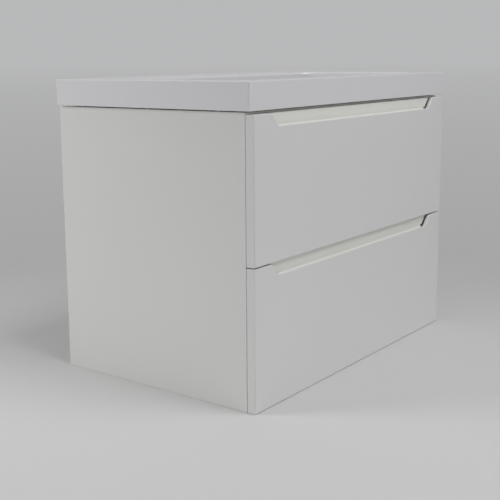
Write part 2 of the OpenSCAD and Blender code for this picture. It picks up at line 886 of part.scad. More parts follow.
// The strip's section in y and z: upright, with a cove that runs forward to the lip
module grip_section() {
    z_cove = z_lip - lip_h + cove_r;
    difference() {
        polygon([[y_lip, z_lip - lip_h], [y_grip, z_foot], [y_front_back, z_foot],
                 [y_front_back, front_h], [y_lip, front_h]]);
        translate([y_grip - cove_r, z_cove]) circle(cove_r);
        rect(y_lip - cut, y_grip, z_cove, front_h + cut);
        rect(y_lip - cut, y_grip - cove_r, z_lip - lip_h, front_h + cut);
    }
}

// Grip strip that closes the recess behind
module grip_strip(z_front) {
    color([0.95, 0.95, 0.92])
    translate([0, 0, z_front]) intersection() {
        along_y(y_lip, y_front_back) grip_outline();
        along_x(-recess_top_x, recess_top_x) grip_section();
    }
}

// ---------------------------------------------------------------- drawer boxes

function front_screw_z(z_rail, box_h) =
    [z_rail + z_box_floor + front_screw_edge, z_rail + z_box_side + box_h - front_screw_edge];

module box_front(z_rail, box_h) {
    color([0.90, 0.90, 0.89])
    difference() {
        block([-x_box_in, y_front_back, z_rail + z_box_floor],
              [x_box_in, y_box_front, z_rail + z_box_side + box_h]);
        both_sides()
            for (z = front_screw_z(z_rail, box_h))
                rod_y(y_front_back - cut, y_box_front + cut, x_front_screw, z,
                      screw_r + peg_clear);
    }
}

module box_side(side, z_rail, box_h) {
    color([0.90, 0.90, 0.89])
    on_side(side) difference() {
        block([x_box_in, y_front_back, z_rail + z_box_side],
              [x_box, y_box_back, z_rail + z_box_side + box_h]);
        block([x_box_in - cut, y_front_back - cut, z_rail + z_carrier_top],
              [x_box_in + groove_d, y_box_back + cut, z_rail + z_box_floor]);
    }
}

module box_bottom(z_rail) {
    block([-x_box_in - groove_d, y_front_back, z_rail + z_carrier_top],
          [x_box_in + groove_d, y_box_back, z_rail + z_box_floor]);
}

module upper_box_bottom() {
    color([0.88, 0.88, 0.87])
    difference() {
        box_bottom(z_upper_rail);
        block([-cutout_half_w, y_cutout, z_upper_rail],
              [cutout_half_w, y_box_back + cut, z_upper_rail + z_box_floor + cut]);
    }
}

module lower_box_bottom() {
    color([0.88, 0.88, 0.87]) box_bottom(z_lower_rail);
}

module upper_back(side) {
    color([0.90, 0.90, 0.89])
    on_side(side)
        block([x_cutout, y_box_back - box_t, z_upper_rail + z_box_floor],
              [x_box_in, y_box_back, z_upper_rail + z_box_side + upper_box_h]);
}

module lower_box_back() {
    color([0.90, 0.90, 0.89])
    block([-x_box_in, y_box_back - box_t, z_lower_rail + z_box_floor],
          [x_box_in, y_box_back, z_lower_rail + z_box_side + lower_box_h]);
}

module cutout_wall(side) {
    color([0.90, 0.90, 0.89])
    on_side(side)
        block([cutout_half_w, y_cutout, z_upper_rail + z_box_floor],
              [x_cutout, y_box_back, z_upper_rail + z_box_side + upper_box_h]);
}

module cutout_wall_front() {
    color([0.90, 0.90, 0.89])
    block([-x_cutout, y_cutout - cutout_wall_t, z_upper_rail + z_box_floor],
          [x_cutout, y_cutout, z_upper_rail + z_box_side + upper_box_h]);
}

module front_screws(z_rail, box_h) {
    color([0.62, 0.63, 0.65])
    both_sides()
        for (z = front_screw_z(z_rail, box_h)) {
            rod_y(y_front_back - screw_bite + point_gap, y_box_front, x_front_screw, z,
                  screw_r);
            rod_y(y_box_front, y_box_front + screw_head_h, x_front_screw, z,
                  screw_head_r);
        }
}

// Release clips under the drawer's bottom, beside the carriers' front ends
module clips(z_rail) {
    clip_w = 34;
    clip_d = 42;
    clip_h = 11;
    clip_gap = 3;
    lever_w = 17;
    lever_d = 10;
    lever_h = 4;
    lever_gap = 1;
    x_clip = channel_lo - clip_gap - clip_w / 2;
    z_clip = z_rail + z_carrier_top - clip_h;
    color([0.55, 0.56, 0.58])
    both_sides() {
        block([x_clip - clip_w / 2, y_front_back + lever_d, z_clip],
              [x_clip + clip_w / 2, y_front_back + lever_d + clip_d, z_clip + clip_h]);
        block([x_clip - lever_w / 2, y_front_back + lever_gap, z_clip],
              [x_clip + lever_w / 2, y_front_back + lever_d, z_clip + lever_h]);
    }
}

// ---------------------------------------------------------------- runners

// A channel's section, open at the top between two lips
module channel_section(x_lo, x_hi, z_lo, z_hi, t, lip) {
    difference() {
        rect(x_lo, x_hi, z_lo, z_hi);
        rect(x_lo + t, x_hi - t, z_lo + t, z_hi - t);
        rect(x_lo + lip, x_hi - lip, z_hi - t - cut, z_hi + cut);
    }
}

function rail_screw_places() = [for (z_rail = [z_lower_rail, z_upper_rail],
    y = [y_rail_lo + rail_screw_end, (y_rail_lo + y_rail_hi) / 2, y_rail_hi - rail_screw_end])
    [y, z_rail + rail_flange_h - rail_screw_drop]];

// Fixed rail: a channel under the drawer's bottom, a leg under the drawer's side and a
// flange on the cabinet's side
module rail(side, z_rail) {
    color([0.68, 0.69, 0.71])
    on_side(side) difference() {
        translate([0, 0, z_rail]) along_y(y_rail_lo, y_rail_hi) {
            channel_section(channel_lo, channel_hi, 0, channel_h, rail_t, rail_lip);
            rect(channel_lo, x_in, 0, rail_t);
            rect(x_in - rail_t, x_in, 0, rail_flange_h);
        }
        for (p = rail_screw_places())
            rod_x(x_in - rail_t - cut, x_in + cut, p[0], p[1], screw_r + peg_clear);
    }
}

module slide(side, z_rail) {
    color([0.74, 0.75, 0.77])
    on_side(side)
        translate([0, 0, z_rail]) along_y(y_rail_lo, y_rail_hi)
            channel_section(channel_lo + slide_in, channel_hi - slide_in, slide_in,
                            channel_h - slide_in, slide_t, slide_lip);
}

module carrier(side, z_rail) {
    x_mid = (channel_lo + channel_hi) / 2;
    z_hi = channel_h - carrier_in;
    color([0.74, 0.75, 0.77])
    on_side(side)
        translate([0, 0, z_rail]) along_y(y_rail_lo, y_box_back) {
            difference() {
                rect(channel_lo + carrier_in, channel_hi - carrier_in, carrier_in, z_hi);
                rect(channel_lo + carrier_in + slide_t, channel_hi - carrier_in - slide_t,
                     carrier_in + slide_t, z_hi - slide_t);
            }
            rect(x_mid - web_t / 2, x_mid + web_t / 2, z_hi - slide_t, z_carrier_top);
            rect(x_mid - carrier_plate_w / 2, x_mid + carrier_plate_w / 2,
                 z_carrier_top - slide_t, z_carrier_top);
        }
}

module rail_screws() {
    color([0.62, 0.63, 0.65])
    both_sides()
        for (p = rail_screw_places())
            screw_x(x_in - rail_t, p[0], p[1], screw_bite - point_gap, screw_r, screw_head_r,
                    screw_head_h);
}

// ---------------------------------------------------------------- nodes

washbasin();
basin_pads();
overflow_ring();
waste_body();
waste_gaskets();
waste_nut();
waste_plug();
side_panel(-1);  // side_panel_left
side_panel(1);  // side_panel_right
bottom_panel();
middle_rail();
front_rail();
back_rail_top();
back_rail_bottom();
dowels();
cam_locks();
cam_bolts();
front_bumpers();
hanger(-1);  // hanger_left
hanger(1);  // hanger_right
hooks();
wall_plate(-1);  // wall_plate_left
wall_plate(1);  // wall_plate_right
hanger_screws();
hanger_adjusters();
drawer_front(z_upper_front, z_upper_rail, upper_box_h);  // upper_front
grip_strip(z_upper_front);  // upper_grip
box_front(z_upper_rail, upper_box_h);  // upper_box_front
box_side(-1, z_upper_rail, upper_box_h);  // upper_box_left
box_side(1, z_upper_rail, upper_box_h);  // upper_box_right
upper_box_bottom();
upper_back(-1);  // upper_back_left
upper_back(1);  // upper_back_right
cutout_wall(-1);  // cutout_wall_left
cutout_wall(1);  // cutout_wall_right
cutout_wall_front();
front_screws(z_upper_rail, upper_box_h);  // upper_front_screws
clips(z_upper_rail);  // upper_clips
drawer_front(z_lower_front, z_lower_rail, lower_box_h);  // lower_front
grip_strip(z_lower_front);  // lower_grip
box_front(z_lower_rail, lower_box_h);  // lower_box_front
box_side(-1, z_lower_rail, lower_box_h);  // lower_box_left
box_side(1, z_lower_rail, lower_box_h);  // lower_box_right
lower_box_bottom();
lower_box_back();
front_screws(z_lower_rail, lower_box_h);  // lower_front_screws
clips(z_lower_rail);  // lower_clips
rail(-1, z_upper_rail);  // rail_upper_left
rail(1, z_upper_rail);  // rail_upper_right
rail(-1, z_lower_rail);  // rail_lower_left
rail(1, z_lower_rail);  // rail_lower_right
slide(-1, z_upper_rail);  // slide_upper_left
slide(1, z_upper_rail);  // slide_upper_right
slide(-1, z_lower_rail);  // slide_lower_left
slide(1, z_lower_rail);  // slide_lower_right
carrier(-1, z_upper_rail);  // carrier_upper_left
carrier(1, z_upper_rail);  // carrier_upper_right
carrier(-1, z_lower_rail);  // carrier_lower_left
carrier(1, z_lower_rail);  // carrier_lower_right
rail_screws();
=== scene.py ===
"""Looks of a wall-hung washbasin cabinet with two drawers and a slab washbasin."""

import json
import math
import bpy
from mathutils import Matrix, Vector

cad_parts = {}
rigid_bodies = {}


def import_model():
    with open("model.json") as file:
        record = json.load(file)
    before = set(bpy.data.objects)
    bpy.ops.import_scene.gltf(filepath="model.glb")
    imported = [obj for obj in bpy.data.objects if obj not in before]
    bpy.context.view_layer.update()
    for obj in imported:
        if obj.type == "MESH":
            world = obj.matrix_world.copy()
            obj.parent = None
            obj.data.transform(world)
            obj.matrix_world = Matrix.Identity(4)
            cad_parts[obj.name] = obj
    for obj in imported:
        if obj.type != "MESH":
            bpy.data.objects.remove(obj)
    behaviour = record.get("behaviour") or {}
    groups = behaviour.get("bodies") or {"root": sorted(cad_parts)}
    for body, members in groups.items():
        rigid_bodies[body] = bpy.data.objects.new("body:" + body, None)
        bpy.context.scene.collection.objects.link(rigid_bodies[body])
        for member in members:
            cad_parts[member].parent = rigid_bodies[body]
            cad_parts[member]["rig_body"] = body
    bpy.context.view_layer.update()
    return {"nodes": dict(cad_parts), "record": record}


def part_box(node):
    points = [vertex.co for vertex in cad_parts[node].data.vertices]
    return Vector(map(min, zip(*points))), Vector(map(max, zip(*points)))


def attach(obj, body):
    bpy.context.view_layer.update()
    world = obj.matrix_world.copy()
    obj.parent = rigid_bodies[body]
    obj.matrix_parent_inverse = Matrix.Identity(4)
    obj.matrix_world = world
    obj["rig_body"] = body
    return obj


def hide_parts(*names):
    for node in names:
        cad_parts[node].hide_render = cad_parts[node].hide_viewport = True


bl_info = {
    "name": "Floating Vanity",
    "version": (1, 0, 0),
    "blender": (4, 5, 0),
    "location": "View3D > Sidebar > Vanity",
    "description": "Builds the visible pieces of a two-drawer floating vanity round its packed frame",
    "category": "Object",
}

import bmesh
import bpy
from bpy.props import FloatProperty, FloatVectorProperty, PointerProperty
from mathutils import Matrix, Vector

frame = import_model()

SLOT_OF = {row["node"]: row["material_slot"] for row in frame["record"]["subparts"]}

# Lengths are in metres.
TINY = 1e-6  # points that are closer than this are one point
FLAT = math.radians(1)  # faces that meet at less than this are one face
CREASE = math.radians(40)  # edges that bend by more than this look sharp
STEEP = math.radians(50)  # edges that stand out by more than this can be rounded
QUARTER = math.pi / 2
OVERRUN = 0.01  # reach of a cutting tool past the face that it cuts
FACING, LEANING = 0.9, 0.5  # a normal's share along an axis that a face looks or leans along
# Shortest edge that is rounded on a board, a runner, a piece of the waste and a small fixing.
LONG, FOLD, THIN, SMALL = 0.004, 0.05, 0.0005, 0.0003


# ---------- settings

def setting(kind, **facts):
    """A function that makes settings of one kind from a name, a default and a description."""
    return lambda name, default, text: kind(name=name, default=default, description=text, **facts)


length = setting(FloatProperty, min=0.0, subtype="DISTANCE", unit="LENGTH", precision=5)
colour = setting(FloatVectorProperty, size=3, subtype="COLOR_GAMMA", min=0.0, max=1.0)
place = setting(FloatVectorProperty, size=3, subtype="TRANSLATION", unit="LENGTH")
turn = setting(FloatProperty, subtype="ANGLE", unit="ROTATION")
focal_length = setting(FloatProperty, min=1.0, subtype="DISTANCE_CAMERA", unit="CAMERA")
share = setting(FloatProperty)
amount = setting(FloatProperty, min=0.0)
power = setting(FloatProperty, min=0.0, unit="POWER")


class VanityBasin(bpy.types.PropertyGroup):
    edge_round: length("Upper edge rounding", 0.0016, "Rounding of the slab's upper edges")
    under_round: length("Lower edge rounding", 0.0007, "Rounding of the slab's lower edges")
    corner_round: length("Corner rounding", 0.003, "Radius of the slab's four upright corners")
    deck: length("Deck thickness", 0.015, "Thickness of the deck round the bowl")
    rim: length("Rim", 0.030, "Width of the rim underneath, at the front and the sides")
    rim_back: length("Back rim", 0.042, "Width of the rim underneath, at the back")
    side_deck: length("Side deck", 0.055, "Deck left and right of the bowl")
    front_deck: length("Front deck", 0.040, "Deck in front of the bowl")
    back_deck: length("Back deck", 0.136, "Deck behind the bowl")
    lip_round: length("Bowl lip", 0.006, "Rounding between the deck and the bowl's wall")
    corner: length("Bowl corner", 0.045, "Radius of the bowl's upright corners")
    draft: length("Bowl draft", 0.016, "How much the front and side walls lean in")
    floor_round: length("Bowl floor rounding", 0.028, "Radius between the bowl's walls and floor")
    depth: length("Bowl depth", 0.110, "Depth of the bowl at its edge")
    fall: length("Floor fall", 0.005, "How much lower the floor is at the waste")
    wall: length("Bowl wall", 0.012, "Thickness of the bowl's shell")
    tap_radius: length("Tap hole radius", 0.0175, "Radius of the tap hole")
    tap_from_back: length("Tap hole from back", 0.062, "Distance of the tap hole from the back")


class VanityFronts(bpy.types.PropertyGroup):
    edge_round: length("Edge rounding", 0.002, "Rounding round a front's face")
    back_round: length("Back edge rounding", 0.0008, "Rounding of a front's back edges")
    recess_height: length("Recess height", 0.0225, "Height of the finger recess")
    grip_depth: length("Recess depth", 0.0085, "Distance of the grip strip from the face")
    top_in: length("Recess upper inset", 0.054, "Recess's upper corners from the side edge")
    bottom_in: length("Recess lower inset", 0.074, "Recess's lower corners from the side edge")
    shoulder: length("Shoulder radius", 0.012, "Rounding of the recess's upper shoulders")
    inner_corner: length("Inner corner radius", 0.004, "Rounding of the recess's lower corners")
    foot: length("Foot depth", 0.008, "Depth of the grip strip's foot below the lip")
    lip: length("Lip", 0.0025, "Width of the lip in front of the grip strip")
    lip_height: length("Lip height", 0.0025, "Height of the lip above the grip strip's toe")
    slit_from: length("Strip's straight run", 0.20, "Half the strip's length that stays as it is")
    slit_more: length("Slit's opening", 0.0012, "Shortening of the strip at its right end")
    pocket: length("Pocket's overrun", 0.006, "Reach of the pocket behind a recess's end")
    pocket_from: length("Pocket's wall", 0.006, "Thickness of the face in front of the pocket")


class VanityEdges(bpy.types.PropertyGroup):
    board: length("Board edges", 0.0006, "Rounding of the edge bands on the boards")
    steel: length("Steel edges", 0.0005, "Rounding of folded sheet steel")
    moulded: length("Moulded edges", 0.0008, "Rounding of moulded plastic")
    machined: length("Machined edges", 0.0004, "Chamfer of turned and milled metal")


class VanityFinishes(bpy.types.PropertyGroup):
    basin: colour("Basin", (0.800, 0.798, 0.808), "Gloss gelcoat of the washbasin")
    # Lighter than the gelcoat: partly the raw underside's own colour, partly painted light that lightens the
    # shaded gaps under the slab
    basin_raw: colour("Basin underside", (0.93, 0.93, 0.92), "Unpolished underside of the basin")
    lacquer: colour("Lacquer", (0.797, 0.798, 0.797), "Satin lacquer of the drawer fronts")
    panel: colour("Panels", (0.802, 0.804, 0.793), "Melamine facing of the cabinet's boards")
    # Lighter than the panels: partly the edge bands' own colour, partly painted light that lightens the
    # shaded gaps and slits behind the fronts
    band: colour("Edge bands", (0.94, 0.94, 0.93), "Edge bands of the boards and backs of the fronts")
    drawer: colour("Drawer boxes", (0.80, 0.80, 0.79), "Melamine facing of the drawer boxes")
    grip: colour("Grip strips", (0.86, 0.86, 0.84), "Strip behind the finger recess")
    zinc: colour("Runners", (0.70, 0.71, 0.73), "Zinc-plated steel of the runners")
    fixing: colour("Fixings", (0.62, 0.63, 0.65), "Zinc-plated screws, cams, hooks and plates")
    chrome: colour("Chrome", (0.80, 0.81, 0.83), "Polished chrome of the waste")
    brass: colour("Brass", (0.72, 0.62, 0.38), "Machined brass of the waste's nut")
    rubber: colour("Seals", (0.16, 0.16, 0.17), "Black rubber of the seals")
    pad: colour("Pads", (0.80, 0.80, 0.78), "Soft pads and bumpers")
    hanger: colour("Hangers", (0.80, 0.80, 0.79), "Moulded plastic of the wall hangers")
    clip: colour("Clips", (0.55, 0.56, 0.58), "Moulded plastic of the release clips")
    beech: colour("Beech", (0.80, 0.66, 0.45), "Dowels")


class VanityStudio(bpy.types.PropertyGroup):
    camera_at: place("Camera", (-1.6326, -1.1559, 0.6287), "Place of the camera")
    camera_turn: turn("Camera heading", math.radians(52.103), "Turn to the right of straight back")
    camera_tilt: turn("Camera tilt", math.radians(-10.017), "Tilt above the horizon")
    camera_roll: turn("Camera roll", math.radians(-0.671), "Roll about the line of sight")
    lens: focal_length("Lens", 67.11, "Focal length on a 36 mm wide sensor")
    shift_x: share("Shift X", 0.0523, "Sideways shift of the frame")
    shift_y: share("Shift Y", -0.0610, "Upright shift of the frame")
    floor: colour("Floor", (0.785, 0.785, 0.785), "Floor as it is seen")
    # Lighter than the floor as seen: painted light, a lit copy of the floor for the light it throws on the
    # cabinet
    floor_bounce: colour("Floor's bounce", (0.97, 0.97, 0.97), "Floor as the cabinet is lit by it")
    # Painted shade: this darker far floor stands in for the light falling off behind the cabinet
    distant: colour("Distance", (0.65, 0.65, 0.65), "Sweep a few metres behind the cabinet")
    # Middle of the painted pool of light on the floor
    sweep_at: place("Sweep's middle", (-0.71, -0.55, 0), "Point round which the floor fades")
    backdrop: colour("Backdrop", (0.722, 0.724, 0.728), "Backdrop above the horizon")
    sky: amount("Sky", 0.33, "Strength of the even light from all round")
    middle: place("Middle", (0, 0, 0.3), "Point that the lamps face")
    overhead: power("Overhead lamp", 62.0, "Wide soft box over the floor in front")
    left: power("Left lamp", 18.5, "Soft box on the left, behind the cabinet")


SETTINGS = {
    "vanity_basin": VanityBasin, "vanity_fronts": VanityFronts, "vanity_edges": VanityEdges,
    "vanity_finishes": VanityFinishes, "vanity_studio": VanityStudio,
}


class Maker:
    """What the operators share: each can be undone."""
    bl_options = {"REGISTER", "UNDO"}


# ---------- mesh tools

def loose_object(name, bm, finishes=()):
    """An object at the origin that holds the bmesh, which is used up."""
    mesh = bpy.data.meshes.new(name)
    bm.to_mesh(mesh)
    bm.free()
    for material in finishes:
        mesh.materials.append(material)
    item = bpy.data.objects.new(name, mesh)
    bpy.context.scene.collection.objects.link(item)
    return item


def piece(name, bm, node, finishes=None):
    """A finished piece in place of a CAD node, on its body and in its slot."""
    bmesh.ops.recalc_face_normals(bm, faces=bm.faces)
    item = loose_object(name, bm, finishes or [finish(SLOT_OF[node])])
    item.data.shade_smooth()
    item.data.set_sharp_from_angle(angle=CREASE)
    even = item.modifiers.new("Even normals", "WEIGHTED_NORMAL")
    even.keep_sharp = True
    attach(item, frame["nodes"][node]["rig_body"])
    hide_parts(node)


def merged(node):
    """A copy of a CAD node's mesh as a bmesh, welded and freed of flat edges."""
    bm = bmesh.new()
    bm.from_mesh(frame["nodes"][node].data)
    bmesh.ops.remove_doubles(bm, verts=bm.verts, dist=TINY)
    bmesh.ops.dissolve_limit(bm, angle_limit=FLAT, verts=bm.verts, edges=bm.edges)
    return bm


def round_edges(bm, edges, radius, segments=2):
    bmesh.ops.bevel(bm, geom=edges, offset=radius, offset_type="OFFSET", segments=segments,
                    profile=0.5, affect="EDGES", clamp_overlap=False, material=-1)


def outer_edges(bm, shortest):
    """Edges that stand out and are longer than the shortest."""
    return [e for e in bm.edges if len(e.link_faces) == 2 and e.calc_length() > shortest
            and e.calc_face_angle_signed(0) > STEEP]


def eased(node, radius, segments=2, shortest=LONG, banded=""):
    """A board or bar from its CAD node, with its long outer edges rounded. Faces that lean
    along an axis that is named as banded get the edge band's finish, lighter partly as painted light for the
    gaps."""
    bm = merged(node)
    round_edges(bm, outer_edges(bm, shortest), radius, segments)
    finishes = [finish(SLOT_OF[node])]
    if banded:
        finishes.append(finish("edge_band"))
        bmesh.ops.recalc_face_normals(bm, faces=bm.faces)
        for face in bm.faces:
            shares = [abs(getattr(face.normal, axis)) for axis in banded]
            face.material_index = int(max(shares) > LEANING)
    piece(node + "_eased", bm, node, finishes)


def box(low, high, bevel=0.0, segments=3):
    """A box between two corners, with its edges rounded."""
    low, high = Vector(low), Vector(high)
    bm = bmesh.new()
    size_it = Matrix.Diagonal((*(high - low), 1))
    bmesh.ops.create_cube(bm, size=1, matrix=Matrix.Translation((low + high) / 2) @ size_it)
    if bevel:
        round_edges(bm, list(bm.edges), bevel, segments)
    return bm


def combined(bm, tool, operation):
    """The bmesh changed by a tool's bmesh with one exact boolean; both are used up. Each face
    keeps the number of its finish, which takes two finishes on both, whichever they are."""
    two = (finish("basin_white"), finish("basin_raw"))
    base, other = loose_object("base", bm, two), loose_object("tool", tool, two)
    change = base.modifiers.new(operation, "BOOLEAN")
    change.operation, change.solver, change.object = operation, "EXACT", other
    result = bmesh.new()
    result.from_object(base, bpy.context.evaluated_depsgraph_get())
    for item in (base, other):
        mesh = item.data
        bpy.data.objects.remove(item)
        bpy.data.meshes.remove(mesh)
    return result


def less(bm, tool):
    return combined(bm, tool, "DIFFERENCE")


def plus(bm, tool):
    return combined(bm, tool, "UNION")


def turned(profile, steps=64):
    """A body of revolution round Z from points (radius, height)."""
    bm = bmesh.new()
    verts = [bm.verts.new((r, 0, z)) for r, z in profile]
    edges = [bm.edges.new(pair) for pair in zip(verts, verts[1:])]
    bmesh.ops.spin(bm, geom=verts + edges, cent=(0, 0, 0), axis=(0, 0, 1), angle=4 * QUARTER,
                   steps=steps, use_merge=True, use_duplicate=False)
    bmesh.ops.remove_doubles(bm, verts=bm.verts, dist=TINY)
    bmesh.ops.recalc_face_normals(bm, faces=bm.faces)
    return bm


def arc(centre_r, centre_z, radius, start, end, steps=4):
    """Points of a profile on an arc, with angles in degrees from outwards to upwards."""
    angles = [math.radians(start + (end - start) * i / steps) for i in range(steps + 1)]
    return [(centre_r + radius * math.cos(a), centre_z + radius * math.sin(a)) for a in angles]


def drawn_out(points, along):
    """A closed body from the corners of one face, drawn out along a vector."""
    bm = bmesh.new()
    bm.faces.new([bm.verts.new(point) for point in points])
    thicken(bm, along)
    return bm


def thicken(bm, along):
    """Draw a flat bmesh out along a vector to a closed body."""
    grown = bmesh.ops.extrude_face_region(bm, geom=list(bm.faces))["geom"]
    verts = [g for g in grown if isinstance(g, bmesh.types.BMVert)]
    bmesh.ops.translate(bm, verts=verts, vec=along)
    bmesh.ops.recalc_face_normals(bm, faces=bm.faces)


def moved(bm, matrix):
    bmesh.ops.transform(bm, matrix=matrix, verts=bm.verts)
    return bm


def repeated(bm, matrices):
    """The bmesh repeated at each place."""
    pattern = bpy.data.meshes.new("pattern")
    bm.to_mesh(pattern)
    bm.clear()
    for matrix in matrices:
        known = len(bm.verts)
        bm.from_mesh(pattern)
        bm.verts.ensure_lookup_table()
        bmesh.ops.transform(bm, matrix=matrix, verts=bm.verts[known:])
    bpy.data.meshes.remove(pattern)
    return bm


def solids(node):
    """Lowest and highest corner of each loose solid of a CAD node, left to right."""
    bm = merged(node)
    left, found = set(bm.verts), []
    while left:
        todo, group = [left.pop()], []
        while todo:
            vert = todo.pop()
            group.append(vert.co.copy())
            near = {e.other_vert(vert) for e in vert.link_edges} & left
            left -= near
            todo.extend(near)
        found.append([Vector(map(end, zip(*group))) for end in (min, max)])
    bm.free()
    return sorted(found, key=lambda pair: tuple(round(c, 4) for c in pair[0]))


# ---------- shader nodes

COLOUR_A, COLOUR_B, COLOUR_OUT = 6, 7, 2  # a Mix node's sockets that hold colours


def linear(shade):
    """Light values of a colour written as it looks on screen, with alpha."""
    return [v / 12.92 if v <= 0.04045 else ((v + 0.055) / 1.055) ** 2.4 for v in shade] + [1.0]


def feed(socket, value):
    """Link another node's output to a socket, or set the socket's own value."""
    if isinstance(value, bpy.types.NodeSocket):
        socket.id_data.links.new(value, socket)
    else:
        socket.default_value = value


def feed_all(item, values):
    """Feed a node's inputs by name, an underscore standing for a space."""
    for name, value in values.items():
        feed(item.inputs[name.replace("_", " ")], value)
    return item


def add(tree, kind, label="", **values):
    item = tree.nodes.new(kind)
    item.label = label
    return feed_all(item, values)


def maths(tree, operation, *values, kind="ShaderNodeMath", result="Value"):
    item = tree.nodes.new(kind)
    item.operation = operation
    for socket, value in zip(item.inputs, values):
        feed(socket, value)
    return item.outputs[result]


def colour_mix(tree, factor, first, second):
    item = add(tree, "ShaderNodeMix", Factor=factor)
    item.data_type = "RGBA"
    feed(item.inputs[COLOUR_A], first)
    feed(item.inputs[COLOUR_B], second)
    return item.outputs[COLOUR_OUT]


def shader_mix(tree, factor, first, second):
    item = add(tree, "ShaderNodeMixShader", Fac=factor)
    feed(item.inputs[1], first)
    feed(item.inputs[2], second)
    return item.outputs[0]


def new_group(name, output, **inputs):
    """A node group with a Vector input and one output, given as (kind, name); each further
    input is given as its kind and default."""
    group = bpy.data.node_groups.new(name, "ShaderNodeTree")
    group.interface.new_socket("Vector", in_out="INPUT", socket_type="NodeSocketVector")
    for label, (kind, value) in inputs.items():
        socket = group.interface.new_socket(label.replace("_", " "), in_out="INPUT",
                                            socket_type="NodeSocket" + kind)
        socket.default_value = value
    kind, label = output
    group.interface.new_socket(label, in_out="OUTPUT", socket_type="NodeSocket" + kind)
    start = group.nodes.new("NodeGroupInput")
    end = group.nodes.new("NodeGroupOutput")
    return group, start.outputs, end.inputs[label]


def surface_grain(name):
    """Height of a fine grain over a broader wave, such as orange peel over a long ripple."""
    group, given, height = new_group(name, ("Float", "Height"), Grain=("Float", 900.0),
                                     Wave=("Float", 12.0), Wave_share=("Float", 0.5))
    fine = add(group, "ShaderNodeTexNoise", "Grain", Vector=given["Vector"],
               Scale=given["Grain"], Detail=2.0, Roughness=0.55)
    broad = add(group, "ShaderNodeTexNoise", "Wave", Vector=given["Vector"],
                Scale=given["Wave"], Detail=1.0, Roughness=0.4)
    mix = add(group, "ShaderNodeMix", Factor=given["Wave share"], A=fine.outputs["Fac"],
              B=broad.outputs["Fac"])
    feed(height, mix.outputs["Result"])
    return group


def tone_drift(name):
    """A colour that lightens and darkens a little over a broad cloud."""
    group, given, tone = new_group(name, ("Color", "Colour"), Colour=("Color", (1, 1, 1, 1)),
                                   Darkest=("Color", (0.9, 0.9, 0.9, 1)), Scale=("Float", 5.0))
    cloud = add(group, "ShaderNodeTexNoise", "Cloud", Vector=given["Vector"],
                Scale=given["Scale"], Detail=3.0, Roughness=0.6)
    spread = add(group, "ShaderNodeMapRange", "Spread", Value=cloud.outputs["Fac"],
                 From_Min=0.3, From_Max=0.7)
    feed(tone, colour_mix(group, spread.outputs["Result"], given["Darkest"], given["Colour"]))
    return group


def handling_marks(name):
    """A roughness with faint wipes and smudges in it."""
    group, given, roughness = new_group(name, ("Float", "Roughness"), Clean=("Float", 0.2),
                                        Smudged=("Float", 0.3), Scale=("Float", 9.0))
    smudge = add(group, "ShaderNodeTexNoise", "Smudges", Vector=given["Vector"],
                 Scale=given["Scale"], Detail=5.0, Roughness=0.65, Distortion=0.6)
    spread = add(group, "ShaderNodeMapRange", "Spread", Value=smudge.outputs["Fac"],
                 From_Min=0.42, From_Max=0.72, To_Min=given["Clean"], To_Max=given["Smudged"])
    feed(roughness, spread.outputs["Result"])
    return group


def group_node(tree, make, **values):
    """A node group in a material's tree; the group itself is made once."""
    name = make.__name__.replace("_", " ").capitalize()
    item = tree.nodes.new("ShaderNodeGroup")
    item.node_tree = bpy.data.node_groups.get(name) or make(name)
    return feed_all(item, values)


# ---------- finishes

METAL = {"Metallic": 1.0}

